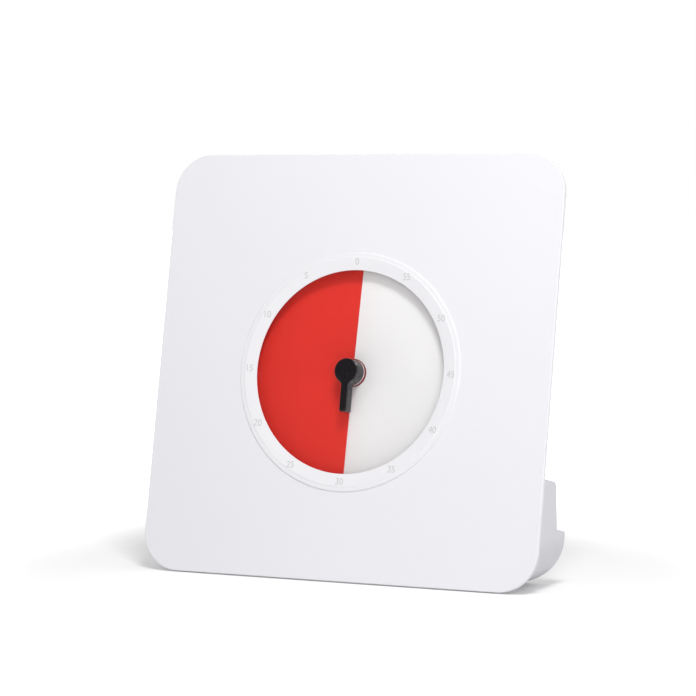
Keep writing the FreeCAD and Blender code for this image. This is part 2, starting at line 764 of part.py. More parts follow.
def make_rear_cover():
    body = new_body("rear_cover", "dial")
    front = "-(case_floor_depth + case_floor)"
    deep = "cover_back - case_floor_depth - case_floor"
    inner = "cover_half - cover_wall"
    pad(body, outline(sketch_on(body, "XY_Plane", front), square_corners("cover_half")), deep, down=True)
    round_edges(body, lambda edge: runs_along(edge, 2), "cover_corner")
    back = -value("cover_back")
    round_edges(body, lambda edge: lies_at(edge, 2, back), "cover_round", kind="Chamfer")
    pocket(body, rounded_square(body, front, inner, "cover_corner - cover_wall"), deep + " - cover_wall")
    posts = sketch_on(body, "XY_Plane", "-cover_boss_back")
    for across, up in corners_of("cover_post_place"):
        circle(posts, "cover_post_radius", across, up)
    pad(body, posts, "cover_back - cover_wall / 2 - cover_boss_back", down=True)
    shanks = sketch_on(body, "XY_Plane", "-cover_boss_back")
    heads = sketch_on(body, "XY_Plane", "-cover_counterbore")
    for across, up in corners_of("cover_post_place"):
        circle(shanks, "screw_hole", across, up)
        circle(heads, "screw_head_radius + fit_gap / 2", across, up)
    pocket(body, shanks, "cover_back - cover_boss_back")
    pocket(body, heads, "cover_back - cover_counterbore")

    inside = "-(cover_back - cover_wall - door_ledge)"
    through = "cover_wall + 2 * door_ledge"
    outer = "(door_half + fit_gap)"
    groove = "(door_half + door_flange + fit_gap)"
    top, low = "-(door_top - fit_gap)", "-(cover_half + cover_wall)"
    for half, depth in ((outer, through), (groove, "cover_wall + door_ledge - door_lip")):
        corners = box_corners("-" + half, low, half, top)
        pocket(body, outline(sketch_on(body, "XY_Plane", inside), corners), depth)
    slot_half = "(switch_button / 2 + switch_travel / 2 + fit_gap)"
    pocket(body, outline(sketch_on(body, "XY_Plane", inside), box_corners(
        "switch_x - " + slot_half, "switch_y - switch_height / 2 - fit_gap",
        "switch_x + " + slot_half, "switch_y + switch_height / 2 + fit_gap")), through)
    grille = sketch_on(body, "XY_Plane", inside)
    for number in range(SOUND_SLOTS):
        middle = "sounder_y + sound_slot_step * %g" % (number - (SOUND_SLOTS - 1) / 2)
        outline(grille, box_corners("-sounder_x - sound_slot_half", middle + " - sound_slot_width / 2",
                                    "-sounder_x + sound_slot_half", middle + " + sound_slot_width / 2"))
    pocket(body, grille, through)
    screws("cover_screws", "dial", corners_of("cover_post_place"), "cover_counterbore",
           "screw_head_radius", "cover_counterbore - case_floor_depth - case_floor - screw_skin")


def rounded_square(body, level, half, corner):
    """A square outline with arcs for corners."""
    sketch = sketch_on(body, "XY_Plane", level)
    side = value(half)
    radius = value(corner)
    flat = side - radius
    arcs = []
    for number, (across, up) in enumerate(((1, 1), (-1, 1), (-1, -1), (1, -1))):
        centre = Vector(across * flat, up * flat, 0)
        start = math.radians(90.0 * number)
        arc = Part.ArcOfCircle(Part.Circle(centre, Vector(0, 0, 1), radius), start, start + math.pi / 2)
        index = sketch.addGeometry(arc, False)
        arcs.append(index)
        held = sketch.addConstraint(Sketcher.Constraint("Radius", index, radius))
        sketch.setExpression("Constraints[%d]" % held, bound(corner))
        pin(sketch, "DistanceX", index, 3, "%d * (%s - (%s))" % (across, half, corner))
        pin(sketch, "DistanceY", index, 3, "%d * (%s - (%s))" % (up, half, corner))
    for number in range(4):
        this, following = arcs[number], arcs[(number + 1) % 4]
        arc_end = sketch.Geometry[this].EndPoint
        next_start = sketch.Geometry[following].StartPoint
        line = sketch.addGeometry(Part.LineSegment(arc_end, next_start), False)
        sketch.addConstraint(Sketcher.Constraint("Tangent", this, 2, line, 1))
        sketch.addConstraint(Sketcher.Constraint("Tangent", line, 2, following, 1))
    return sketch


def make_battery_bay():
    length = "battery_length"
    middle = "-battery_height"
    level = "-battery_depth"
    cell = new_body("battery", "dial")
    shell = circle(sketch_on(cell, "YZ_Plane", "-%s / 2" % length), "battery_radius", middle, level)
    pad(cell, shell, length)
    nub = circle(sketch_on(cell, "YZ_Plane", "%s / 2" % length), "battery_nub_radius", middle, level)
    pad(cell, nub, "battery_nub")

    tray = new_body("battery_tray", "dial")
    front = "case_floor_depth + case_floor"
    half = "(battery_radius + fit_gap + tray_wall / 2)"
    pad(tray, outline(sketch_on(tray, "XY_Plane", "-(%s)" % front), box_corners(
        "-tray_length / 2", "%s - %s" % (middle, half), "tray_length / 2", "%s + %s" % (middle, half))),
        "battery_depth - (%s)" % front, down=True)
    bay = "(tray_length / 2 - tray_wall)"
    trough = circle(sketch_on(tray, "YZ_Plane", "-" + bay), "battery_radius + fit_gap", middle, level)
    pocket(tray, trough, "2 * " + bay, up=True)

    sheet_corners = box_corners(middle + " - contact_half", level + " - contact_low",
                                middle + " + contact_half", level + " + contact_high")
    plate = new_body("contact_plate", "dial")
    outer = "(battery_length / 2 + battery_nub)"
    pad(plate, outline(sketch_on(plate, "YZ_Plane", outer), sheet_corners), bay + " - " + outer)

    spring = new_body("contact_spring", "dial")
    pad(spring, outline(sketch_on(spring, "YZ_Plane", "-" + bay), sheet_corners), "contact_thick")
    coil = circle(sketch_on(spring, "YZ_Plane", "-%s + contact_thick" % bay), "spring_radius", middle, level)
    circle(coil, "spring_bore", middle, level)
    pad(spring, coil, "%s - contact_thick - %s / 2" % (bay, length))


def make_door():
    """The battery door: its flanges run in the cover's grooves, and it slides down the board."""
    door = new_body("battery_door", "dial")
    flange = "(door_half + door_flange)"
    pad(door, outline(sketch_on(door, "XY_Plane", "-cover_back"), box_corners(
        "-door_half", "-cover_half", "door_half", "-door_top")), "door_outer")
    pad(door, outline(sketch_on(door, "XY_Plane", "-(cover_back - door_outer)"), box_corners(
        "-" + flange, "-cover_half", flange, "-door_top")), "cover_wall - door_outer")
    grips = sketch_on(door, "XY_Plane", "-cover_back")
    for number in range(GRIP_LINES):
        low = "-cover_half + grip_first + grip_step * %d" % number
        outline(grips, box_corners("-grip_half", low, "grip_half", low + " + grip_width"))
    pocket(door, grips, "grip_deep", up=True)


def make_sound_parts():
    body = new_body("sound_switch", "dial")
    flange = "-(cover_back - cover_wall - fit_gap)"
    centre = "(switch_x - switch_travel / 2)"
    reach = "(switch_button / 2 + switch_travel + switch_flange)"
    pad(body, outline(sketch_on(body, "XY_Plane", flange), box_corners(
        "%s - %s" % (centre, reach), "switch_y - switch_height / 2 - switch_rim",
        "%s + %s" % (centre, reach), "switch_y + switch_height / 2 + switch_rim")), "switch_flange")
    pad(body, outline(sketch_on(body, "XY_Plane", flange), box_corners(
        centre + " - switch_button / 2", "switch_y - switch_height / 2",
        centre + " + switch_button / 2", "switch_y + switch_height / 2")),
        "cover_wall + fit_gap + switch_stand", down=True)
    disc = new_body("sounder", "dial")
    pad(disc, circle(sketch_on(disc, "XY_Plane", "-(cover_back - cover_wall)"),
                     "sounder_radius", "-sounder_x", "sounder_y"), "sounder_thick")


def stand_points(wall):
    """Corners of the stand's side, in from its skin by a wall, from the lower front round."""
    slope = "tan(board_tilt * 1 deg)"
    across = "cos(board_tilt * 1 deg)"
    top_y = "(stand_height * sin(board_tilt * 1 deg) + board_thick * %s)" % across
    top_z = "(board_lift + stand_height * %s - board_thick * sin(board_tilt * 1 deg))" % across
    shoulder = "(%s - (stand_upper_depth - %s) * %s)" % (top_z, top_y, slope)
    inner_z = "(ledge_height + (stand_lower_depth - stand_upper_depth - stand_lean) * %s)" % slope
    foot_y = "(board_thick / %s)" % across
    corners = [
        (foot_y, "board_lift"), (top_y, top_z), ("stand_upper_depth", shoulder),
        ("(stand_upper_depth + stand_lean)", inner_z), ("stand_lower_depth", "ledge_height"),
        ("stand_lower_depth", "board_lift")]
    if wall == "0":
        return corners
    slant = "(%s / %s)" % (wall, across)
    return [
        ("%s + %s + %s * %s" % (foot_y, slant, wall, slope), "board_lift + " + wall),
        ("%s + %s * (%s - sin(board_tilt * 1 deg)) + 0" % (top_y, wall, across),
         "%s - %s * (%s + sin(board_tilt * 1 deg))" % (top_z, wall, across)),
        ("stand_upper_depth - " + wall, "%s - %s" % (shoulder, slant)),
        ("stand_upper_depth + stand_lean - " + wall, "%s - %s" % (inner_z, slant)),
        ("stand_lower_depth - " + wall, "ledge_height - " + slant),
        ("stand_lower_depth - " + wall, "board_lift + " + wall)]


def stand_block(label, wall, corner):
    """The stand's side profile along X with the board's rounded lower corners."""
    body = doc.addObject("PartDesign::Body", label)
    half = "(board_size / 2 - %s)" % wall
    sketch = outline(sketch_on(body, "YZ_Plane", "-" + half), stand_points(wall))
    pad(body, sketch, "2 * " + half)
    side = value(half)
    low = value("board_lift + " + wall)

    def at_lower_corner(edge):
        middle = edge.CenterOfMass
        return runs_along(edge, 1) and abs(abs(middle.x) - side) < 1e-3 and abs(middle.z - low) < 1e-3

    round_edges(body, at_lower_corner, corner)
    return body


def saddle_cylinder(radius):
    """A cylinder on the dial's axis, for the round seat that the case nests in."""
    reach = value("2 * stand_lower_depth")
    rod = doc.addObject("Part::Cylinder", "saddle")
    rod.setExpression("Radius", bound(radius))
    rod.setExpression("Height", bound("3 * stand_lower_depth"))
    rod.Placement = board_place(0, value("dial_height"), -reach)
    return rod


def make_stand():
    outer = stand_block("stand_skin", "0", "stand_corner")
    shoulder = value(stand_points("0")[2][1])
    depth = value("stand_upper_depth")
    round_edges(outer, lambda edge: runs_along(edge, 0) and abs(edge.CenterOfMass.y - depth) < 1e-3
                and abs(edge.CenterOfMass.z - shoulder) < 1e-3, "stand_top_round")
    rear = value("stand_lower_depth")
    ledge = value("ledge_height")
    round_edges(outer, lambda edge: runs_along(edge, 0) and abs(edge.CenterOfMass.y - rear) < 1e-3
                and abs(edge.CenterOfMass.z - ledge) < 1e-3, "ledge_round")
    inner = stand_block("stand_hollow", "stand_wall", "stand_corner - stand_wall")

    opening = doc.addObject("Part::Box", "stand_opening")
    margin = "(stand_corner + plate_margin)"
    low_y = "(stand_wall * 2 + board_thick)"
    high_y = "(stand_lower_depth - stand_wall * 2)"
    opening.setExpression("Length", bound("board_size - 2 * " + margin))
    opening.setExpression("Width", bound(high_y + " - " + low_y))
    opening.setExpression("Height", bound("stand_wall + 2"))
    opening.setExpression("Placement.Base.x", bound("-board_size / 2 + " + margin))
    opening.setExpression("Placement.Base.y", bound(low_y))
    opening.setExpression("Placement.Base.z", bound("board_lift - 1"))

    hollow = doc.addObject("Part::Cut", "stand_hollow_saddled")
    hollow.Base = inner
    hollow.Tool = saddle_cylinder("flange_radius + saddle_gap + stand_wall")
    cuts = [hollow, opening, saddle_cylinder("flange_radius + saddle_gap")]
    for across, up in stand_screw_places():
        hole = doc.addObject("Part::Cylinder", "stand_hole")
        hole.setExpression("Radius", bound("boss_radius + fit_gap"))
        hole.setExpression("Height", bound("3 * stand_wall"))
        hole.Placement = board_place(value(across), value(up), -value("board_thick + 2 * stand_wall"))
        cuts.append(hole)
    shell = doc.addObject("Part::Cut", "stand_shell_walls")
    tools = doc.addObject("Part::MultiFuse", "stand_cuts")
    tools.Shapes = cuts
    shell.Base = outer
    shell.Tool = tools
    return shell, low_y, high_y, margin


def board_place(across, up, out):
    """The upright frame's placement of something drawn in the board frame."""
    tilt = value("board_tilt")
    frame = Placement(Vector(0, 0, value("board_lift")), Rotation(Vector(1, 0, 0), 90.0 - tilt))
    return frame.multiply(Placement(Vector(across, up, out), Rotation()))


def make_stand_parts():
    shell, low_y, high_y, margin = make_stand()
    keep("stand_shell", "upright", shell)
    plate = new_body("base_plate", "upright")
    half = "(board_size / 2 - %s - fit_gap)" % margin
    pad(plate, outline(sketch_on(plate, "XY_Plane", "board_lift"), box_corners(
        "-" + half, low_y + " + fit_gap", half, high_y + " - fit_gap")), "stand_wall")
    screws("stand_screws", "board", stand_screw_places(), "board_thick + stand_wall",
           "flange_head_radius", "stand_wall + board_thick - screw_skin - fit_gap")
    screws("case_screws", "dial", ring_places("case_screw_circle", CASE_SCREWS),
           "board_thick + flange_thick", "flange_head_radius",
           "flange_thick + board_thick - screw_skin - fit_gap")


def make_feet():
    """Four flat pads, two under the board's side and two under the stand's rear."""
    feet = []
    for side in ("-", ""):
        for depth in ("board_thick + stand_wall + foot_inset", "stand_lower_depth - stand_wall - foot_width"):
            foot = doc.addObject("Part::Box", "foot")
            foot.setExpression("Length", bound("foot_length"))
            foot.setExpression("Width", bound("foot_width"))
            foot.setExpression("Height", bound("board_lift"))
            foot.setExpression("Placement.Base.x", bound("%sfoot_x - foot_length / 2" % side))
            foot.setExpression("Placement.Base.y", bound(depth))
            feet.append(foot)
    group = doc.addObject("Part::Compound", "feet")
    group.Links = feet
    keep("feet", "upright", group)


make_front_panel()
make_dial_ring()
make_lens()
make_discs()
make_knob()
make_hub_and_collar()
make_arbor()
make_bushing()
make_dial_case()
make_movement()
make_train()
make_motor()
make_circuit()
make_rear_cover()
make_battery_bay()
make_door()
make_sound_parts()
make_stand_parts()
make_feet()
doc.recompute()


def place_all():
    """Tilt the board's and dial's pieces, then centre the whole on its footprint box."""
    tilt = Rotation(Vector(1, 0, 0), 90.0 - value("board_tilt"))
    board = Placement(Vector(0, 0, value("board_lift")), tilt)
    dial = board.multiply(Placement(Vector(0, value("dial_height"), 0), Rotation()))
    places = {"board": board, "dial": dial, "upright": Placement()}
    for label, item in nodes.items():
        item.Placement = places[frames[label]]
    doc.recompute()
    low = min(item.Shape.optimalBoundingBox(False).YMin for item in nodes.values())
    high = max(item.Shape.optimalBoundingBox(False).YMax for item in nodes.values())
    shift = Placement(Vector(0, -(low + high) / 2, 0), Rotation())
    for label, item in nodes.items():
        item.Placement = shift.multiply(places[frames[label]])
    doc.recompute()


def check_all():
    """Stop before anything is written if a step failed or a piece isn't a sound solid."""
    for item in doc.Objects:
        if {"Invalid", "Error"} & set(item.State):
            raise RuntimeError("%s failed: %s" % (item.Label, item.State))
    for label, item in nodes.items():
        if item.Shape.isNull() or not item.Shape.isValid() or not item.Shape.Solids:
            raise RuntimeError(label + " is not a valid solid")


place_all()
check_all()
os.makedirs("parts", exist_ok=True)
for label, item in nodes.items():
    item.Shape.exportStep("parts/%s.step" % label)
    print("%-20s %d solid(s) %10.1f mm3" % (label, len(item.Shape.Solids), item.Shape.Volume))
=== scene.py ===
import json
import math

import bmesh
import bpy
from bpy.props import FloatProperty, FloatVectorProperty, IntProperty, PointerProperty
from mathutils import Matrix, Vector


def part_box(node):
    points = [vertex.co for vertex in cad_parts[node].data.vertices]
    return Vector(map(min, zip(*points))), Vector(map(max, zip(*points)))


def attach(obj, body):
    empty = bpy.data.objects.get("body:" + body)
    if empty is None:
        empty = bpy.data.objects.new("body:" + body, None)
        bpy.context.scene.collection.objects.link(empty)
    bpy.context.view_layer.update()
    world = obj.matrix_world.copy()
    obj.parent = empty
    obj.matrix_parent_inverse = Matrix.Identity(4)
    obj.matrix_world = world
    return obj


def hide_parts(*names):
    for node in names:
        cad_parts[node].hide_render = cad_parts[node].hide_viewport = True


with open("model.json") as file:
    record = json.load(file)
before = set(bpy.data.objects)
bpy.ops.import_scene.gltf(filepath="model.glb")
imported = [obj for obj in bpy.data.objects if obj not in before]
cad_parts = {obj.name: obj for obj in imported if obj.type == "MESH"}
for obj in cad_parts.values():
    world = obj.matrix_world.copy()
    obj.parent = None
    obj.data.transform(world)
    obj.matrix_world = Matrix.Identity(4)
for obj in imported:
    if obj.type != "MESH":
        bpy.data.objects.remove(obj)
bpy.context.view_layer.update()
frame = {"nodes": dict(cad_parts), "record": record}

bl_info = {
    "name": "Visual countdown timer",
    "version": (1, 0, 0),
    "blender": (4, 5, 0),
    "location": "3D View > Sidebar > Timer",
    "description": "Finishes the board, dial, stand and movement of a visual countdown timer",
    "category": "Object",
}

NODES = frame["nodes"]
JOINTS = {joint["name"]: joint for joint in frame["record"]["behaviour"]["joints"]}
NODE_BODY = {node: body for body, members in frame["record"]["behaviour"]["bodies"].items()
             for node in members}

# The dial's own frame: X right, Y up the board, Z out of its front, origin at the dial's centre.
OUT = Vector(JOINTS["knob_turn"]["axis"]).normalized()
UP = OUT.cross(Vector((1, 0, 0)))
CENTRE = Vector(JOINTS["knob_turn"]["pos_m"])
MM = 0.001
DIAL = Matrix((
    (MM, 0, 0, CENTRE.x),
    (0, UP.y * MM, OUT.y * MM, CENTRE.y),
    (0, UP.z * MM, OUT.z * MM, CENTRE.z),
    (0, 0, 0, 1)))
FOOT_INSET = 8.5 * MM
BOARD_FOOT = Vector((0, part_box("feet")[0][1] - FOOT_INSET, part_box("feet")[1][2]))


class DialSizes(bpy.types.PropertyGroup):
    """Sizes of the dial in millimetres, measured in the dial's own frame."""
    lip_radius: FloatProperty(name="Lip radius", description="Radius of the dial's opening", default=71.5)
    lip_thick: FloatProperty(name="Lip thickness", description="Thickness of the ring at its lip",
                             default=0.7)
    crest_radius: FloatProperty(name="Crest radius", description="Where the ring stands highest",
                                default=80.2)
    crest_rise: FloatProperty(name="Crest rise", description="Height of the ring over the board",
                              default=1.25)
    crest_round: FloatProperty(name="Crest rounding", description="Radius of the ring's crest", default=0.5)
    terrace_radius: FloatProperty(name="Terrace radius", description="Where the step behind the crest ends",
                                  default=80.9)
    terrace_rise: FloatProperty(name="Terrace rise", description="Height of the ring behind its crest",
                                default=0.98)
    shoulder_radius: FloatProperty(name="Shoulder radius", description="Where the ring's outer slope ends",
                                   default=83.5)
    shoulder_rise: FloatProperty(name="Shoulder rise", description="Height of the ring's outer step",
                                 default=0.9)
    ring_radius: FloatProperty(name="Ring radius", description="Outer radius of the ring", default=84.1)
    skirt_radius: FloatProperty(name="Skirt radius", description="Radius of the ring's skirt", default=78.7)
    skirt_depth: FloatProperty(name="Skirt depth", description="Depth of the skirt behind the board",
                               default=5.4)
    throat_radius: FloatProperty(name="Throat radius", description="Radius behind the lip", default=74.4)
    recess_radius: FloatProperty(name="Recess radius", description="Radius of the window's seat",
                                 default=76.6)
    lens_depth: FloatProperty(name="Window depth", description="Depth of the window's front", default=3.4)
    lens_thick: FloatProperty(name="Window thickness", description="Thickness of the window", default=1.4)
    lens_radius: FloatProperty(name="Window radius", description="Outer radius of the window", default=76.3)
    lens_hole: FloatProperty(name="Window hole", description="Radius of the window's hole", default=9.9)
    disc_depth: FloatProperty(name="Disc depth", description="Depth of the red disc at the 0 mark",
                              default=8.6)
    helix_pitch: FloatProperty(name="Helix pitch", description="Rise of the red disc in a turn", default=1.8)
    film_thick: FloatProperty(name="Film thickness", description="Thickness of the red film", default=0.3)
    face_thick: FloatProperty(name="Face thickness", description="Thickness of the white face", default=0.8)
    film_radius: FloatProperty(name="Film radius", description="Outer radius of the red film", default=77.4)
    face_radius: FloatProperty(name="Face radius", description="Outer radius of the white face", default=78.6)
    disc_bore: FloatProperty(name="Disc bore", description="Inner radius of film and face", default=9.9)
    disc_turn: FloatProperty(name="Disc turn", description="Turn of film and slot about the dial, in degrees",
                             default=-0.95)
    slot_half: FloatProperty(name="Slot half angle", description="Half the angle of the face's slot",
                             default=0.4)
    head_radius: FloatProperty(name="Knob radius", description="Radius of the knob's head", default=8.8)
    knob_front: FloatProperty(name="Knob front", description="How far the knob stands out", default=5.0)
    knob_back: FloatProperty(name="Knob back", description="Depth of the knob's back", default=6.0)
    knob_bevel: FloatProperty(name="Knob bevel", description="Rounding of the knob's front edge", default=0.7)
    pointer_width: FloatProperty(name="Pointer width", description="Width of the pointer", default=5.6)
    pointer_reach: FloatProperty(name="Pointer reach", description="Length of the pointer", default=28.5)
    pointer_back: FloatProperty(name="Pointer back", description="Depth of the pointer's back", default=2.6)
    pointer_neck: FloatProperty(name="Pointer neck", description="Radius where the pointer leaves the head",
                                default=3.0)
    collar_radius: FloatProperty(name="Collar radius", description="Radius of the white collar", default=8.9)
    hub_radius: FloatProperty(name="Hub radius", description="Radius of the red hub", default=9.7)
    hub_front: FloatProperty(name="Hub front", description="Depth of the hub's front", default=7.0)
    hub_back: FloatProperty(name="Hub back", description="Depth of the hub's back", default=10.6)
    arbor_radius: FloatProperty(name="Arbor radius", description="Radius of the arbor's bore", default=3.05)
    arbor_front: FloatProperty(name="Arbor front", description="Height of the bore in the knob", default=2.5)
    numeral_radius: FloatProperty(name="Numeral radius", description="Radius of the numerals' circle",
                                  default=77.2)
    numeral_height: FloatProperty(name="Numeral size", description="Type size of the numerals", default=6.7)
    numeral_narrow: FloatProperty(name="Numeral width", description="Width of the numerals", default=0.92,
                                  subtype="FACTOR")
    numeral_weight: FloatProperty(name="Numeral weight", description="How far the strokes are thickened",
                                  default=0.07)
    numeral_count: IntProperty(name="Numerals", description="Number of numerals round the ring", default=12)
    minute_step: IntProperty(name="Minute step", description="Minutes from one numeral to the next",
                             default=5)


class FinishColours(bpy.types.PropertyGroup):
    """Colours of the object's surfaces, as scene linear values."""
    board: FloatVectorProperty(name="Board", description="Satin white of the board", subtype="COLOR",
                               default=(0.775, 0.775, 0.808))
    ring: FloatVectorProperty(name="Ring", description="White of the bezel ring", subtype="COLOR",
                              default=(0.79, 0.781, 0.807))
    # The stand's white is set darker than the board's to match the shade on its side faces: painted shade,
    # which the base plate and rear case share.
    stand: FloatVectorProperty(name="Stand", description="White of the stand and rear case", subtype="COLOR",
                               default=(0.68, 0.67, 0.705))
    # The face's white is set brighter than the board's so that the recessed face reads as bright as the
    # board: painted light against the shade of the recess.
    face: FloatVectorProperty(name="Face", description="White of the dial face", subtype="COLOR",
                              default=(0.95, 0.94, 0.94))
    film: FloatVectorProperty(name="Film", description="Red of the time disc", subtype="COLOR",
                              default=(0.86, 0.035, 0.023))
    # The hub's red is a darkened copy of the film's red that stands in for the shade under the knob: painted
    # shade.
    hub: FloatVectorProperty(name="Hub", description="Red of the hub", subtype="COLOR",
                             default=(0.26, 0.008, 0.010))
    knob: FloatVectorProperty(name="Knob", description="Black of the knob", subtype="COLOR",
                              default=(0.010, 0.008, 0.010))
    ink: FloatVectorProperty(name="Numerals", description="Grey ink of the numerals", subtype="COLOR",
                             default=(0.58, 0.58, 0.58))


class StageSettings(bpy.types.PropertyGroup):
    """Lamps, floor and camera of the studio."""
    lens: FloatProperty(name="Focal length", description="Camera's focal length", default=138.2)
    azimuth: FloatProperty(name="Azimuth", description="Camera's turn to the right, in degrees",
                           default=25.11)
    elevation: FloatProperty(name="Elevation", description="Camera's downward look, in degrees", default=3.52)
    place: FloatVectorProperty(name="Camera place", description="Camera's place from the board's foot",
                               subtype="TRANSLATION", unit="LENGTH", default=(0.78593, -1.64985, 0.27338))
    key_power: FloatProperty(name="Key lamp", description="Power of the key lamp", default=10.5, unit="POWER")
    key_place: FloatVectorProperty(name="Key place", description="Place of the key lamp",
                                   subtype="TRANSLATION", unit="LENGTH", default=(0.47, -0.69, 1.23))
    key_size: FloatProperty(name="Key size", description="Width of the key lamp", default=0.40, unit="LENGTH")
    fill_power: FloatProperty(name="Fill lamp", description="Power of the fill lamp",
                              default=4.2, unit="POWER")
    ambient: FloatProperty(name="Ambient", description="Strength of the room's light", default=0.60)
    fill_place: FloatVectorProperty(name="Fill place", description="Place of the fill lamp",
                                    subtype="TRANSLATION", unit="LENGTH", default=(1.1, -1.4, 0.45))
    fill_size: FloatProperty(name="Fill size", description="Width of the fill lamp", default=0.9,
                             unit="LENGTH")
    aim_height: FloatProperty(name="Aim height", description="Height that the lamps point at", default=0.14,
                              unit="LENGTH")
    floor_half: FloatProperty(name="Floor half width", description="Half the width of the floor",
                              default=12.0, unit="LENGTH")
    floor_glow: FloatProperty(name="Floor glow", description="White added to the seen floor near the object",
                              default=0.17)
    shade_reach: FloatProperty(name="Shade reach", description="Where the floor starts to turn white",
                               default=0.2, unit="LENGTH")
    white_reach: FloatProperty(name="White reach", description="Where the floor is all white",
                               default=0.5, unit="LENGTH")
    flag_level: FloatProperty(name="Flag level", description="Brightness of the flag that the dial mirrors",
                              default=0.05)
    flag_rim: FloatProperty(name="Flag rim", description="Cosine of the angle at which the flag begins",
                            default=0.40)
    flag_core: FloatProperty(name="Flag core", description="Cosine of the angle inside which it is darkest",
                             default=0.88)


def sizes():
    return bpy.context.scene.timer_sizes


def colours():
    return bpy.context.scene.timer_colours


class Value:
    """A number or colour on a node tree; expressions on it add Math nodes."""

    def __init__(self, paint, socket):
        self.paint = paint
        self.socket = socket

    def _math(self, operation, first, second=None):
        inputs = {0: first} if second is None else {0: first, 1: second}
        return self.paint.node("ShaderNodeMath", {"operation": operation}, inputs)[0]

    def __add__(self, other):
        return self._math("ADD", self, other)

    def __radd__(self, other):
        return self._math("ADD", other, self)

    def __sub__(self, other):
        return self._math("SUBTRACT", self, other)

    def __rsub__(self, other):
        return self._math("SUBTRACT", other, self)

    def __mul__(self, other):
        return self._math("MULTIPLY", self, other)

    def __rmul__(self, other):
        return self._math("MULTIPLY", other, self)

    def __gt__(self, other):
        return self._math("GREATER_THAN", self, other)


class Paint:
    """Builds one material's tree and plugs its results into one Principled shader."""

    def __init__(self, name):
        self.material = bpy.data.materials.new(name)
        self.material.use_nodes = True
        self.tree = self.material.node_tree
        self.tree.nodes.clear()
        self.output = self.tree.nodes.new("ShaderNodeOutputMaterial")
        self.place = self.node("ShaderNodeTexCoord", {}, {})["Object"]

    def node(self, kind, settings, inputs):
        """Add a node; the result maps output numbers and names to values."""
        made = self.tree.nodes.new(kind)
        for name, setting in settings.items():
            if name == "stops":
                ramp = made.color_ramp
                while len(ramp.elements) < len(setting):
                    ramp.elements.new(1.0)
                for element, (position, colour) in zip(ramp.elements, setting):
                    element.position = position
                    element.color = colour
            else:
                setattr(made, name, setting)
        for key, given in inputs.items():
            socket = made.inputs[key]
            if isinstance(given, Value):
                self.tree.links.new(given.socket, socket)
            else:
                socket.default_value = given
        found = {number: Value(self, socket) for number, socket in enumerate(made.outputs)}
        found.update({socket.name: Value(self, socket) for socket in made.outputs if socket.enabled})
        return found

    def scaled(self, scale, turn=(0, 0, 0)):
        return self.node("ShaderNodeMapping", {}, {"Vector": self.place, "Scale": scale, "Rotation": turn})[0]

    def noise(self, scale, detail=2.0, roughness=0.5, vector=None):
        return self.node("ShaderNodeTexNoise", {}, {
            "Vector": vector or self.place, "Scale": scale, "Detail": detail, "Roughness": roughness})[0]

    def ramp(self, fraction, *stops):
        return self.node("ShaderNodeValToRGB", {"stops": [(at, (v, v, v, 1)) for at, v in stops]},
                         {"Fac": fraction})[0]

    def mix(self, factor, first, second, blend="MIX"):
        """Mix two colours."""
        return self.node("ShaderNodeMix", {"data_type": "RGBA", "blend_type": blend},
                         {0: factor, 6: first, 7: second})[2]

    def bump(self, height, strength, distance):
        return self.node("ShaderNodeBump", {}, {
            "Height": height, "Strength": strength, "Distance": distance})[0]

    def finish(self, **inputs):
        """Set up the Principled shader and link it to the output."""
        named = {key.replace("_", " ").title().replace("Ior", "IOR"): given for key, given in inputs.items()}
        shader = self.node("ShaderNodeBsdfPrincipled", {}, named)[0]
        self.tree.links.new(shader.socket, self.output.inputs["Surface"])
        return self.material


def rgba(colour, factor=1.0):
    return tuple(min(1.0, part * factor) for part in colour) + (1.0,)


def moulded(name, colour, roughness=0.42, grain=9000.0, relief=0.00002, cloud=6.0, shade=0.97):
    """Moulded plastic: a fine spark-eroded grain, faint flow clouds and uneven gloss."""
    paint = Paint(name)
    fine = paint.noise(grain, 2.0, 0.6)
    flow = paint.noise(cloud, 3.0)
    speck = paint.noise(grain / 18.0, 2.0)
    tone = paint.mix(paint.ramp(flow, (0.35, 0.0), (0.65, 1.0)), rgba(colour, shade), rgba(colour))
    tone = paint.mix(paint.ramp(speck, (0.68, 0.0), (0.8, 0.25)), tone, rgba(colour, 0.93))
    gloss = roughness + (flow - 0.5) * 0.10 + (fine - 0.5) * 0.08
    return paint.finish(base_color=tone, roughness=gloss, normal=paint.bump(fine, 0.35, relief),
                        specular_ior_level=0.5)


def face_card():
    """The dial face: matt white card with a faint fibre; its white is set above the board's as painted light
    against the shade of its recess.
    """
    paint = Paint("dial face card with painted light")
    fibre = paint.noise(2600.0, 3.0, 0.6, paint.scaled((1.0, 1.0, 0.25)))
    haze = paint.noise(14.0, 2.0)
    tone = paint.mix(fibre, rgba(colours().face, 0.985), rgba(colours().face))
    tone = paint.mix(paint.ramp(haze, (0.4, 0.0), (0.7, 0.4)), tone, rgba(colours().face, 0.98))
    return paint.finish(base_color=tone, roughness=0.62 + fibre * 0.1,
                        normal=paint.bump(fibre, 0.25, 0.00002))


def red_film():
    """The time disc: matt red film with a calendered grain and faint rub marks."""
    paint = Paint("red time film")
    grain = paint.noise(5200.0, 2.0, 0.6)
    rub = paint.noise(60.0, 4.0, 0.6, paint.scaled((0.35, 1.0, 1.0)))
    red = colours().film
    tone = paint.mix(paint.ramp(rub, (0.3, 0.0), (0.7, 1.0)), rgba(red, 0.985), rgba(red))
    gloss = 0.5 + (grain - 0.5) * 0.12 + (rub - 0.5) * 0.08
    return paint.finish(base_color=tone, roughness=gloss, specular_ior_level=0.35,
                        normal=paint.bump(grain, 0.25, 0.00002))


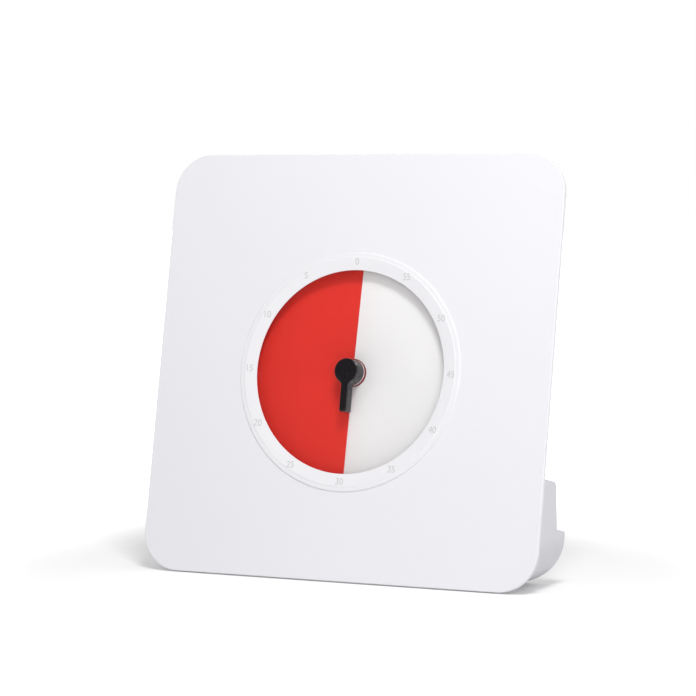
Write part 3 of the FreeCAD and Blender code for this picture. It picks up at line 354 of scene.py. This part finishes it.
def knob_plastic():
    """Black satin moulding with a fine grain and a few lighter rub specks."""
    paint = Paint("black knob moulding")
    grain = paint.noise(7000.0, 2.0, 0.65)
    wear = paint.noise(420.0, 3.0, 0.6)
    black = colours().knob
    tone = paint.mix(paint.ramp(wear, (0.62, 0.0), (0.78, 1.0)), rgba(black), rgba(black, 2.2))
    gloss = 0.26 + (grain - 0.5) * 0.08 + (wear - 0.5) * 0.06
    return paint.finish(base_color=tone, roughness=gloss, normal=paint.bump(grain, 0.3, 0.00002))


def clear_window():
    """Clear sheet: see-through, with a Fresnel gloss and a trace of dust."""
    paint = Paint("clear window")
    smear = paint.noise(30.0, 3.0, 0.6)
    gloss = paint.node("ShaderNodeBsdfGlossy", {}, {"Color": (1, 1, 1, 1), "Roughness": 0.06})[0]
    clear = paint.node("ShaderNodeBsdfTransparent", {}, {"Color": (0.995, 0.995, 0.995, 1)})[0]
    edge = paint.node("ShaderNodeFresnel", {}, {"IOR": 1.38})[0]
    share = edge * (0.45 + smear * 0.1)
    mixed = paint.node("ShaderNodeMixShader", {}, {0: share, 1: clear, 2: gloss})[0]
    paint.tree.links.new(mixed.socket, paint.output.inputs["Surface"])
    return paint.material


def printed_ink():
    """Grey pad-printed ink with a slightly uneven coat."""
    paint = Paint("grey numeral ink")
    coat = paint.noise(3500.0, 2.0)
    tone = paint.mix(coat, rgba(colours().ink, 0.96), rgba(colours().ink, 1.04))
    return paint.finish(base_color=tone, roughness=0.5 + coat * 0.1, normal=paint.bump(coat, 0.2, 0.00001))


def metal(name, colour, roughness, direction=(1.0, 60.0, 60.0), metallic=1.0):
    """Metal with fine drawn or turned lines along one direction."""
    paint = Paint(name)
    lines = paint.noise(220.0, 3.0, 0.6, paint.scaled(direction))
    stain = paint.noise(90.0, 3.0)
    tone = paint.mix(lines, rgba(colour, 0.82), rgba(colour))
    gloss = roughness + (lines - 0.5) * 0.2 + stain * 0.06
    return paint.finish(base_color=tone, metallic=metallic, roughness=gloss,
                        normal=paint.bump(lines, 0.3, 0.00002))


def rubber():
    """Grey rubber with a fine matt grain."""
    paint = Paint("foot rubber")
    grain = paint.noise(4200.0, 3.0, 0.7)
    tone = paint.mix(grain, (0.06, 0.06, 0.062, 1), (0.11, 0.11, 0.112, 1))
    return paint.finish(base_color=tone, roughness=0.75 + grain * 0.15,
                        normal=paint.bump(grain, 0.5, 0.00004))


def winding():
    """Enamelled copper wire, wound in close turns along X."""
    paint = Paint("enamelled copper winding")
    turns = paint.node("ShaderNodeTexWave", {"wave_type": "BANDS", "bands_direction": "X"}, {
        "Vector": paint.place, "Scale": 800.0, "Distortion": 0.4, "Detail": 1.0})[1]
    tone = paint.mix(turns, (0.18, 0.06, 0.02, 1), (0.62, 0.26, 0.09, 1))
    return paint.finish(base_color=tone, metallic=0.7, roughness=0.32 + turns * 0.1,
                        normal=paint.bump(turns, 0.8, 0.0001))


def circuit_laminate():
    """Green laminate with copper tracks under the lacquer."""
    paint = Paint("circuit laminate")
    tracks = paint.node("ShaderNodeTexBrick", {}, {
        "Vector": paint.scaled((150.0, 150.0, 150.0), (math.radians(90), 0, 0)), "Scale": 3.0,
        "Mortar Size": 0.03})[1]
    weave = paint.noise(2400.0, 1.0)
    tone = paint.mix(tracks, (0.02, 0.16, 0.07, 1), (0.05, 0.30, 0.12, 1))
    tone = paint.mix(weave * 0.15, tone, (0.10, 0.36, 0.18, 1))
    return paint.finish(base_color=tone, roughness=0.3 + weave * 0.1, normal=paint.bump(tracks, 0.4, 0.00005))


def cell_jacket():
    """Plain printed sleeve of the cell: dark body with one pale end band."""
    paint = Paint("cell jacket")
    across = paint.node("ShaderNodeSeparateXYZ", {}, {0: paint.place})[0]
    band = across > 0.014
    scuff = paint.noise(300.0, 3.0)
    tone = paint.mix(band, (0.03, 0.035, 0.045, 1), (0.62, 0.50, 0.22, 1))
    tone = paint.mix(paint.ramp(scuff, (0.6, 0.0), (0.75, 0.3)), tone, (0.45, 0.45, 0.45, 1))
    return paint.finish(base_color=tone, metallic=0.35, roughness=0.3 + scuff * 0.15,
                        normal=paint.bump(scuff, 0.15, 0.00005))


def give(item, material):
    """Put one material on a piece."""
    item.data.materials.clear()
    item.data.materials.append(material)
    return item


def arc_corner(before, corner, after, radius, steps):
    """Points of an arc of that radius that rounds one corner of a flat outline."""
    first = (before - corner).normalized()
    second = (after - corner).normalized()
    half = first.angle(second) / 2
    reach = min(radius / math.tan(half), (before - corner).length * 0.49, (after - corner).length * 0.49)
    radius = reach * math.tan(half)
    middle = corner + (first + second).normalized() * (radius / math.sin(half))
    start = corner + first * reach - middle
    end = corner + second * reach - middle
    turn = start.angle_signed(end)
    return [middle + Matrix.Rotation(-turn * number / steps, 2) @ start for number in range(steps + 1)]


def rounded(points, radii, steps=8):
    """A closed flat outline with each corner rounded by its own radius."""
    corners = [Vector(point) for point in points]
    result = []
    for number, corner in enumerate(corners):
        if radii[number] <= 0:
            result.append(corner)
            continue
        result.extend(arc_corner(corners[number - 1], corner, corners[(number + 1) % len(corners)],
                                 radii[number], steps))
    return result


def shade(mesh, sharp=math.radians(32)):
    """Smooth shading that keeps the edges that are really sharp."""
    edit = bmesh.new()
    edit.from_mesh(mesh)
    for face in edit.faces:
        face.smooth = True
    for edge in edit.edges:
        if len(edge.link_faces) == 2:
            edge.smooth = edge.calc_face_angle(0.0) < sharp
    edit.to_mesh(mesh)
    edit.free()
    mesh.update()


def add_piece(name, edit, matrix, body, replaced=()):
    """Turn an edit mesh into a piece that rides on a body and stands for CAD nodes."""
    bmesh.ops.recalc_face_normals(edit, faces=edit.faces)
    mesh = bpy.data.meshes.new(name)
    edit.to_mesh(mesh)
    edit.free()
    mesh.transform(matrix)
    shade(mesh)
    item = bpy.data.objects.new(name, mesh)
    bpy.context.scene.collection.objects.link(item)
    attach(item, body)
    if replaced:
        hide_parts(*replaced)
    return item


def lathe(profile, steps=240):
    """A closed ring: the outline of radius and height turned about Z."""
    edit = bmesh.new()
    rings = []
    for number in range(steps):
        angle = 2 * math.pi * number / steps
        rings.append([edit.verts.new((radius * math.cos(angle), radius * math.sin(angle), height))
                      for radius, height in profile])
    count = len(profile)
    for number in range(steps):
        this, following = rings[number], rings[(number + 1) % steps]
        for place in range(count):
            nearby = (place + 1) % count
            edit.faces.new((this[place], this[nearby], following[nearby], following[place]))
    return edit


def helical_sheet(inner, outer, thick, start, end, level, pitch, offset, steps=180, bands=6):
    """One turn of a shallow helical sheet about Z, turned by an offset, closed on all sides."""
    edit = bmesh.new()
    rows = []
    for number in range(steps + 1):
        angle = start + (end - start) * number / steps
        middle = level + pitch * angle / 360.0
        turn = math.radians(angle + offset)
        row = []
        for side in (-1, 1):
            radii = [inner + (outer - inner) * band / bands for band in range(bands + 1)]
            for radius in (radii if side < 0 else reversed(radii)):
                row.append(edit.verts.new((-math.sin(turn) * radius, math.cos(turn) * radius,
                                           middle + side * thick / 2)))
        rows.append(row)
    count = len(rows[0])
    for this, following in zip(rows, rows[1:]):
        for place in range(count):
            nearby = (place + 1) % count
            edit.faces.new((this[place], this[nearby], following[nearby], following[place]))
    edit.faces.new(rows[0])
    edit.faces.new(list(reversed(rows[-1])))
    return edit


def smooth_copy(node, name, bevel=0.0, sharp=math.radians(30)):
    """A merged copy of a CAD node with softened edges and even normals, standing for the node."""
    edit = bmesh.new()
    edit.from_mesh(NODES[node].data)
    bmesh.ops.remove_doubles(edit, verts=edit.verts, dist=2e-6)
    bmesh.ops.dissolve_limit(edit, angle_limit=math.radians(0.6), verts=edit.verts, edges=edit.edges)
    mesh = bpy.data.meshes.new(name)
    edit.to_mesh(mesh)
    edit.free()
    item = bpy.data.objects.new(name, mesh)
    bpy.context.scene.collection.objects.link(item)
    shade(mesh, sharp)
    if bevel:
        softened = item.modifiers.new("edges", "BEVEL")
        softened.width = bevel
        softened.segments = 2
        softened.limit_method = "ANGLE"
        softened.angle_limit = math.radians(50)
        softened.use_clamp_overlap = True
    even = item.modifiers.new("normals", "WEIGHTED_NORMAL")
    even.keep_sharp = True
    even.weight = 80
    settled = bpy.data.meshes.new_from_object(item.evaluated_get(bpy.context.evaluated_depsgraph_get()))
    item.modifiers.clear()
    item.data = settled
    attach(item, NODE_BODY[node])
    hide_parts(node)
    return item


class TreeBuilder:
    """A Geometry Nodes tree with named inputs."""

    def __init__(self, name):
        self.tree = bpy.data.node_groups.new(name, "GeometryNodeTree")
        self.tree.interface.new_socket("Geometry", in_out="OUTPUT", socket_type="NodeSocketGeometry")
        self.entry = self.tree.nodes.new("NodeGroupInput")
        self.exit = self.tree.nodes.new("NodeGroupOutput")

    def parameter(self, name, kind):
        socket = self.tree.interface.new_socket(name, in_out="INPUT", socket_type="NodeSocket" + kind)
        return socket.identifier

    def given(self, name):
        return self.entry.outputs[name]

    def node(self, kind, settings=None, inputs=None):
        made = self.tree.nodes.new(kind)
        for key, setting in (settings or {}).items():
            setattr(made, key, setting)
        for key, source in (inputs or {}).items():
            self.put(source, made.inputs[key])
        return made

    def put(self, source, socket):
        if isinstance(source, bpy.types.NodeSocket):
            self.tree.links.new(source, socket)
        else:
            socket.default_value = source

    def maths(self, operation, first, second=0.0):
        return self.node("ShaderNodeMath", {"operation": operation}, {0: first, 1: second}).outputs[0]

    def finish(self, geometry, material):
        """End the tree in Realize Instances and Set Material."""
        real = self.node("GeometryNodeRealizeInstances", {}, {0: geometry}).outputs[0]
        coated = self.node("GeometryNodeSetMaterial", {}, {"Geometry": real, "Material": material}).outputs[0]
        self.put(coated, self.exit.inputs[0])
        return self.tree


def grow(name, builder, values, matrix, body, replaced=()):
    """Run a Geometry Nodes tree and keep its result as a plain mesh."""
    seed = bpy.data.objects.new(name, bpy.data.meshes.new(name))
    bpy.context.scene.collection.objects.link(seed)
    modifier = seed.modifiers.new(name, "NODES")
    modifier.node_group = builder.tree
    for identifier, given in values.items():
        modifier[identifier] = given
    result = bpy.data.meshes.new_from_object(seed.evaluated_get(bpy.context.evaluated_depsgraph_get()))
    seed.modifiers.clear()
    seed.data = result
    result.transform(matrix)
    shade(result)
    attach(seed, body)
    if replaced:
        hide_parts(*replaced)
    return seed


class TIMER_OT_board(bpy.types.Operator):
    """Finish the square white board"""
    bl_idname = "timer.board"
    bl_label = "Board"

    def execute(self, context):
        board = smooth_copy("front_panel", "board")
        give(board, moulded("satin white board", colours().board, roughness=0.40, cloud=3.0, shade=0.985))
        return {"FINISHED"}


class TIMER_OT_ring(bpy.types.Operator):
    """Turn the bezel ring round the dial"""
    bl_idname = "timer.ring"
    bl_label = "Bezel ring"

    def execute(self, context):
        size = sizes()
        profile = rounded([
            (size.lip_radius, -size.lip_thick), (size.lip_radius, 0.0), (size.crest_radius, size.crest_rise),
            (size.terrace_radius, size.terrace_rise), (size.shoulder_radius, size.shoulder_rise),
            (size.ring_radius, 0.0), (size.skirt_radius, 0.0), (size.skirt_radius, -size.skirt_depth),
            (size.recess_radius, -size.skirt_depth), (size.recess_radius, -size.lens_depth),
            (size.throat_radius, -size.lens_depth), (size.throat_radius, -size.lip_thick)],
            [0.12, 0.25, size.crest_round, 0.3, 0.3, 0, 0, 0.2, 0.2, 0, 0, 0.3])
        ring = add_piece("bezel_ring", lathe(profile), DIAL, "housing", ["dial_ring"])
        give(ring, moulded("satin white ring", colours().ring, roughness=0.30, cloud=9.0, shade=0.99))
        return {"FINISHED"}


class TIMER_OT_numerals(bpy.types.Operator):
    """Print the minute numerals on the ring"""
    bl_idname = "timer.numerals"
    bl_label = "Numerals"

    def execute(self, context):
        size = sizes()
        builder = TreeBuilder("numerals round a ring")
        names = {key: builder.parameter(key, kind) for key, kind in (
            ("Count", "Int"), ("Minutes a step", "Float"), ("Radius", "Float"), ("Type size", "Float"),
            ("Width", "Float"), ("Weight", "Float"), ("Lip radius", "Float"), ("Slope", "Float"),
            ("Ink lift", "Float"),
            ("Material", "Material"))}
        tree = builder.tree
        start = tree.nodes.new("GeometryNodeRepeatInput")
        stop = tree.nodes.new("GeometryNodeRepeatOutput")
        start.pair_with_output(stop)
        builder.put(builder.given("Count"), start.inputs["Iterations"])
        number = start.outputs["Iteration"]
        text = builder.node("FunctionNodeValueToString", {}, {
            0: builder.maths("MULTIPLY", number, builder.given("Minutes a step"))}).outputs[0]
        glyphs = builder.node("GeometryNodeStringToCurves", {"align_x": "CENTER", "align_y": "MIDDLE"}, {
            "String": text, "Size": builder.given("Type size")}).outputs[0]
        outlines = builder.node("GeometryNodeRealizeInstances", {}, {0: glyphs}).outputs[0]
        stepped = builder.node("GeometryNodeResampleCurve", {"mode": "EVALUATED"}, {
            "Curve": outlines}).outputs[0]
        tangent = builder.node("GeometryNodeInputTangent").outputs[0]
        outward = builder.node("ShaderNodeVectorMath", {"operation": "CROSS_PRODUCT"}, {
            0: tangent, 1: (0.0, 0.0, 1.0)}).outputs[0]
        swell = builder.node("ShaderNodeVectorMath", {"operation": "SCALE"}, {
            0: outward, "Scale": builder.given("Weight")}).outputs[0]
        bold = builder.node("GeometryNodeSetPosition", {}, {"Geometry": stepped, "Offset": swell}).outputs[0]
        flat = builder.node("GeometryNodeFillCurve", {}, {0: bold}).outputs[0]
        turned = builder.maths("MULTIPLY", number, 2 * math.pi)
        angle = builder.maths("DIVIDE", turned, builder.given("Count"))
        across = builder.maths("MULTIPLY", builder.maths("SINE", angle), builder.given("Radius"))
        up = builder.maths("MULTIPLY", builder.maths("COSINE", angle), builder.given("Radius"))
        place = builder.node("ShaderNodeCombineXYZ", {}, {0: builder.maths("MULTIPLY", across, -1.0), 1: up})
        narrow = builder.node("ShaderNodeCombineXYZ", {}, {0: builder.given("Width"), 1: 1.0, 2: 1.0})
        moved = builder.node("GeometryNodeTransform", {}, {
            "Geometry": flat, "Translation": place.outputs[0], "Scale": narrow.outputs[0]}).outputs[0]
        joined = builder.node("GeometryNodeJoinGeometry")
        tree.links.new(start.outputs["Geometry"], joined.inputs[0])
        tree.links.new(moved, joined.inputs[0])
        tree.links.new(joined.outputs[0], stop.inputs["Geometry"])
        position = builder.node("GeometryNodeInputPosition").outputs[0]
        reach = builder.node("ShaderNodeVectorMath", {"operation": "LENGTH"}, {0: position}).outputs["Value"]
        rise = builder.maths("MULTIPLY", builder.maths("SUBTRACT", reach, builder.given("Lip radius")),
                             builder.given("Slope"))
        height = builder.node("ShaderNodeCombineXYZ", {}, {
            2: builder.maths("ADD", rise, builder.given("Ink lift"))}).outputs[0]
        laid = builder.node("GeometryNodeSetPosition", {}, {
            "Geometry": stop.outputs["Geometry"], "Offset": height}).outputs[0]
        builder.finish(laid, builder.given("Material"))
        slope = size.crest_rise / (size.crest_radius - size.lip_radius)
        ink = printed_ink()
        numerals = grow("numerals", builder, {
            names["Count"]: size.numeral_count, names["Minutes a step"]: float(size.minute_step),
            names["Radius"]: size.numeral_radius, names["Type size"]: size.numeral_height,
            names["Width"]: size.numeral_narrow, names["Weight"]: size.numeral_weight,
            names["Lip radius"]: size.lip_radius, names["Slope"]: slope, names["Ink lift"]: 0.03,
            names["Material"]: ink}, DIAL, "housing")
        if not numerals.data.polygons:
            raise RuntimeError("the numerals came out empty")
        give(numerals, ink)
        return {"FINISHED"}


class TIMER_OT_discs(bpy.types.Operator):
    """Lay the red film through the slot of the white face"""
    bl_idname = "timer.discs"
    bl_label = "Red disc and face"

    def execute(self, context):
        size = sizes()
        film = add_piece("red_film", helical_sheet(
            size.disc_bore, size.film_radius, size.film_thick, -180.0, 180.0, -size.disc_depth,
            size.helix_pitch, size.disc_turn), DIAL, "red_disc", ["time_disc"])
        give(film, red_film())
        face = add_piece("white_face", helical_sheet(
            size.disc_bore, size.face_radius, size.face_thick, size.slot_half, 360.0 - size.slot_half,
            -size.disc_depth - size.helix_pitch / 2, size.helix_pitch, size.disc_turn),
            DIAL, "housing", ["face_disc"])
        give(face, face_card())
        return {"FINISHED"}


class TIMER_OT_window(bpy.types.Operator):
    """Set the clear window behind the ring"""
    bl_idname = "timer.window"
    bl_label = "Window"

    def execute(self, context):
        size = sizes()
        front, back = -size.lens_depth, -size.lens_depth - size.lens_thick
        profile = rounded([(size.lens_hole, back), (size.lens_hole, front), (size.lens_radius, front),
                           (size.lens_radius, back)], [0.2, 0.3, 0.2, 0.2], 4)
        window = add_piece("window", lathe(profile), DIAL, "housing", ["dial_lens"])
        give(window, clear_window())
        return {"FINISHED"}


class TIMER_OT_knob(bpy.types.Operator):
    """Make the pointer knob, its collar and the red hub"""
    bl_idname = "timer.knob"
    bl_label = "Knob and hub"
    round_steps = 48

    def execute(self, context):
        size = sizes()
        for name, radius, front, back, replaced, material in (
                ("collar", size.collar_radius, size.knob_back, size.hub_front, "hub_collar",
                 moulded("white collar", colours().ring, roughness=0.35)),
                # The hub's darker red is painted shade under the knob.
                ("red_hub", size.hub_radius, size.hub_front, size.hub_back, "film_hub",
                 moulded("hub red with painted shade", colours().hub, roughness=0.4))):
            profile = rounded([(size.arbor_radius, -back), (size.arbor_radius, -front), (radius, -front),
                               (radius, -back)], [0, 0.2, 0.3, 0.2], 4)
            give(add_piece(name, lathe(profile, 96), DIAL, "knob_set", [replaced]), material)
        give(add_piece("pointer_knob", self.make_knob(size), DIAL, "knob_set", ["knob"]), knob_plastic())
        return {"FINISHED"}

    def make_knob(self, size, steps=6):
        """A round head with one straight pointer, its front edge rounded, and a blind bore behind."""
        bevel = size.knob_bevel
        levels = [(0.0, -size.pointer_back)]
        for number in range(steps + 1):
            turn = math.pi / 2 * number / steps
            levels.append((bevel * (1 - math.cos(turn)), size.knob_front - bevel * (1 - math.sin(turn))))
        edit = bmesh.new()
        rows = [[edit.verts.new((across, up, height)) for across, up in self.outline(size, inset)]
                for inset, height in levels]
        bore = self.circle(edit, size.arbor_radius, -size.pointer_back)
        deep = self.circle(edit, size.arbor_radius, size.arbor_front)
        for this, following in list(zip(rows, rows[1:])) + [(bore, deep)]:
            self.wall(edit, this, following)
        edit.faces.new(rows[-1])
        edit.faces.new(deep)
        rims = [edit.edges.get((rim[place - 1], rim[place]))
                for rim in (rows[0], bore) for place in range(len(rim))]
        bmesh.ops.triangle_fill(edit, use_beauty=True, edges=rims)
        collar = [self.circle(edit, radius, -depth, 2 * self.round_steps) for radius, depth in (
            (size.head_radius, size.knob_back), (size.head_radius, size.pointer_back),
            (size.arbor_radius, size.pointer_back), (size.arbor_radius, size.knob_back))]
        for place in range(len(collar)):
            self.wall(edit, collar[place - 1], collar[place])
        return edit

    def wall(self, edit, first, second):
        """Join two closed rows of as many points."""
        for place in range(len(first)):
            edit.faces.new((first[place - 1], first[place], second[place], second[place - 1]))

    def circle(self, edit, radius, height, steps=round_steps):
        return [edit.verts.new((radius * math.cos(2 * math.pi * number / steps),
                                radius * math.sin(2 * math.pi * number / steps), height))
                for number in range(steps)]

    def outline(self, size, inset, steps=8):
        """The knob's outline, drawn in by an inset."""
        half, neck, head = size.pointer_width / 2, size.pointer_neck, size.head_radius
        tip = size.pointer_width / 5
        drop = -math.sqrt((head + neck) ** 2 - (half + neck) ** 2)
        lean = math.atan2(drop, half + neck)
        low = tip - size.pointer_reach
        points = []
        # An arc that runs into the next one leaves out its last point.
        for across, up, radius, first, last, count, shared in (
                (0.0, 0.0, head - inset, lean, math.pi - lean, 10 * steps, True),
                (-half - neck, drop, neck + inset, -lean, 0.0, steps, False),
                (tip - half, low, tip - inset, math.pi, 1.5 * math.pi, steps, False),
                (half - tip, low, tip - inset, 1.5 * math.pi, 2 * math.pi, steps, False),
                (half + neck, drop, neck + inset, math.pi, math.pi + lean, steps, True)):
            for number in range(count if shared else count + 1):
                angle = first + (last - first) * number / count
                points.append((across + radius * math.cos(angle), up + radius * math.sin(angle)))
        return points


class TIMER_OT_stand(bpy.types.Operator):
    """Finish the stand, its plate and feet"""
    bl_idname = "timer.stand"
    bl_label = "Stand"

    def execute(self, context):
        stand = smooth_copy("stand_shell", "stand_body", bevel=0.0004)
        # The stand's darker white is painted shade; the base plate takes it too.
        white = moulded("satin white stand with painted shade", colours().stand, roughness=0.5, grain=6000.0, relief=0.00003)
        give(stand, white)
        give(NODES["base_plate"], white)
        give(NODES["feet"], rubber())
        return {"FINISHED"}


class TIMER_OT_case(bpy.types.Operator):
    """Finish the round case, rear cover, battery door and switch"""
    bl_idname = "timer.case"
    bl_label = "Rear case"

    def execute(self, context):
        # The case takes the stand's darker white, which is painted shade.
        white = moulded("satin white case with painted shade", colours().stand, roughness=0.5, grain=6000.0, relief=0.00003)
        for node, name in (("dial_case", "round_case"), ("rear_cover", "rear_housing"),
                           ("battery_door", "cell_door")):
            give(smooth_copy(node, name), white)
        give(smooth_copy("sound_switch", "sound_slider"),
             moulded("grey switch", (0.12, 0.12, 0.125), roughness=0.45))
        return {"FINISHED"}


class TIMER_OT_inside(bpy.types.Operator):
    """Give the movement and the other inner pieces their finishes"""
    bl_idname = "timer.inside"
    bl_label = "Inner pieces"

    def execute(self, context):
        steel = metal("plain steel", (0.56, 0.56, 0.58), 0.32)
        turned = metal("turned steel", (0.62, 0.62, 0.64), 0.22, (60.0, 60.0, 1.0))
        brass = metal("turned brass", (0.72, 0.52, 0.22), 0.28, (60.0, 60.0, 1.0))
        plated = metal("zinc plated screws", (0.60, 0.61, 0.64), 0.3)
        acetal = moulded("natural acetal", (0.78, 0.75, 0.66), roughness=0.4, grain=7000.0)
        black = moulded("black movement moulding", (0.02, 0.02, 0.022), roughness=0.5)
        table = {
            "arbor": turned, "arbor_bushing": brass, "clutch_spring": steel, "drive_gear": acetal,
            "intermediate_gear": acetal, "second_gear": acetal, "rotor": acetal, "motor_stator": steel,
            "motor_coil": winding(), "movement_plate": black, "movement_case": black,
            "battery_tray": black, "circuit_board": circuit_laminate(), "sounder": brass,
            "battery": cell_jacket(), "contact_plate": steel, "contact_spring": steel,
            "movement_screws": plated, "case_screws": plated, "cover_screws": plated, "stand_screws": plated}
        for node, material in table.items():
            give(NODES[node], material)
        left = [name for name, item in NODES.items() if not item.data.materials and not item.hide_render]
        if left:
            raise RuntimeError("no finish for " + ", ".join(left))
        return {"FINISHED"}


class TIMER_OT_stage(bpy.types.Operator):
    """Set up the floor, the lamps, the room's light and the camera"""
    bl_idname = "timer.stage"
    bl_label = "Stage"

    def execute(self, context):
        stage = context.scene.timer_stage
        self.make_floor(stage)
        self.make_room(stage)
        aim = Vector((0.0, 0.0, stage.aim_height))
        self.make_lamp("key", Vector(stage.key_place), aim, stage.key_size, stage.key_power)
        self.make_lamp("fill", Vector(stage.fill_place), aim, stage.fill_size, stage.fill_power)
        self.make_camera(stage)
        context.scene.view_settings.view_transform = "Standard"
        return {"FINISHED"}

    def make_floor(self, stage):
        edit = bmesh.new()
        bmesh.ops.create_grid(edit, x_segments=2, y_segments=2, size=stage.floor_half)
        mesh = bpy.data.meshes.new("floor")
        edit.to_mesh(mesh)
        edit.free()
        floor = bpy.data.objects.new("floor", mesh)
        bpy.context.scene.collection.objects.link(floor)
        paint = Paint("pale floor")
        path = paint.node("ShaderNodeLightPath", {}, {})
        seen = path["Is Camera Ray"] + path["Is Glossy Ray"] + path["Is Transmission Ray"]
        reach = paint.node("ShaderNodeVectorMath", {"operation": "LENGTH"}, {0: paint.place})["Value"]
        glow = (seen > 0.5) * paint.node("ShaderNodeMapRange", {"interpolation_type": "SMOOTHSTEP"}, {
            0: reach, 1: stage.shade_reach, 2: stage.white_reach, 3: stage.floor_glow, 4: 1.0})[0]
        soft = paint.noise(40.0, 2.0)
        tone = paint.mix(soft, (0.80, 0.80, 0.80, 1), (0.81, 0.81, 0.81, 1))
        give(floor, paint.finish(base_color=tone, roughness=0.9, emission_color=glow, emission_strength=1.0,
                                 specular_ior_level=0.0))

    def make_room(self, stage):
        world = bpy.data.worlds.new("room")
        bpy.context.scene.world = world
        world.use_nodes = True
        tree = world.node_tree
        tree.nodes.clear()
        output = tree.nodes.new("ShaderNodeOutputWorld")
        background = tree.nodes.new("ShaderNodeBackground")
        path = tree.nodes.new("ShaderNodeLightPath")
        seen = tree.nodes.new("ShaderNodeMath")
        seen.operation = "MAXIMUM"
        tree.links.new(path.outputs["Is Camera Ray"], seen.inputs[0])
        tree.links.new(path.outputs["Is Transmission Ray"], seen.inputs[1])
        plain = tree.nodes.new("ShaderNodeMix")
        tree.links.new(seen.outputs[0], plain.inputs[0])
        plain.inputs[2].default_value = stage.ambient
        plain.inputs[3].default_value = 1.0
        strength = tree.nodes.new("ShaderNodeMix")
        tree.links.new(path.outputs["Is Glossy Ray"], strength.inputs[0])
        tree.links.new(plain.outputs[0], strength.inputs[2])
        tree.links.new(self.make_flag(tree, stage), strength.inputs[3])
        tree.links.new(strength.outputs[0], background.inputs["Strength"])
        background.inputs["Color"].default_value = (1, 1, 1, 1)
        tree.links.new(background.outputs[0], output.inputs[0])

    def look(self, stage):
        """The direction in which the camera looks."""
        turn, drop = math.radians(stage.azimuth), math.radians(stage.elevation)
        return Vector((-math.sin(turn) * math.cos(drop), math.cos(turn) * math.cos(drop), -math.sin(drop)))

    def make_flag(self, tree, stage):
        """What glossy rays meet: a white room with one dark flag, where the dial mirrors it to the camera."""
        ahead = self.look(stage)
        mirrored = ahead - 2 * ahead.dot(OUT) * OUT
        place = tree.nodes.new("ShaderNodeTexCoord")
        facing = tree.nodes.new("ShaderNodeVectorMath")
        facing.operation = "DOT_PRODUCT"
        tree.links.new(place.outputs["Object"], facing.inputs[0])
        facing.inputs[1].default_value = mirrored
        flag = tree.nodes.new("ShaderNodeMapRange")
        flag.interpolation_type = "SMOOTHSTEP"
        tree.links.new(facing.outputs["Value"], flag.inputs[0])
        for number, value in enumerate((stage.flag_rim, stage.flag_core, 1.0, stage.flag_level), 1):
            flag.inputs[number].default_value = value
        return flag.outputs[0]

    def make_lamp(self, name, place, aim, size, power):
        light = bpy.data.lights.new(name, "AREA")
        light.shape = "DISK"
        light.size = size
        light.energy = power
        lamp = bpy.data.objects.new(name, light)
        lamp.location = place
        lamp.rotation_euler = (aim - place).to_track_quat("-Z", "Y").to_euler()
        bpy.context.scene.collection.objects.link(lamp)

    def make_camera(self, stage):
        lens = bpy.data.cameras.new("camera")
        lens.lens = stage.lens
        lens.sensor_width = 36.0
        camera = bpy.data.objects.new("camera", lens)
        camera.location = BOARD_FOOT + Vector(stage.place)
        camera.rotation_euler = self.look(stage).to_track_quat("-Z", "Y").to_euler()
        bpy.context.scene.collection.objects.link(camera)
        bpy.context.scene.camera = camera


class TIMER_PT_panel(bpy.types.Panel):
    """Lists the timer's pieces and the stage"""
    bl_idname = "TIMER_PT_panel"
    bl_label = "Visual countdown timer"
    bl_space_type = "VIEW_3D"
    bl_region_type = "UI"
    bl_category = "Timer"

    def draw(self, context):
        for group in (context.scene.timer_sizes, context.scene.timer_colours, context.scene.timer_stage):
            column = self.layout.column(align=True)
            for name in group.bl_rna.properties.keys():
                if name not in ("rna_type", "name"):
                    column.prop(group, name)
        for operator in OPERATORS:
            self.layout.operator(operator.bl_idname)


GROUPS = (DialSizes, FinishColours, StageSettings)
OPERATORS = (TIMER_OT_stage, TIMER_OT_board, TIMER_OT_ring, TIMER_OT_numerals, TIMER_OT_discs,
             TIMER_OT_window, TIMER_OT_knob, TIMER_OT_stand, TIMER_OT_case, TIMER_OT_inside)


def register():
    for item in GROUPS + OPERATORS + (TIMER_PT_panel,):
        bpy.utils.register_class(item)
    bpy.types.Scene.timer_sizes = PointerProperty(type=DialSizes)
    bpy.types.Scene.timer_colours = PointerProperty(type=FinishColours)
    bpy.types.Scene.timer_stage = PointerProperty(type=StageSettings)


def unregister():
    del bpy.types.Scene.timer_stage
    del bpy.types.Scene.timer_colours
    del bpy.types.Scene.timer_sizes
    for item in reversed(GROUPS + OPERATORS + (TIMER_PT_panel,)):
        bpy.utils.unregister_class(item)


def main():
    register()
    for operator in OPERATORS:
        group, name = operator.bl_idname.split(".")
        getattr(getattr(bpy.ops, group), name)()


if __name__ == "__main__":
    main()
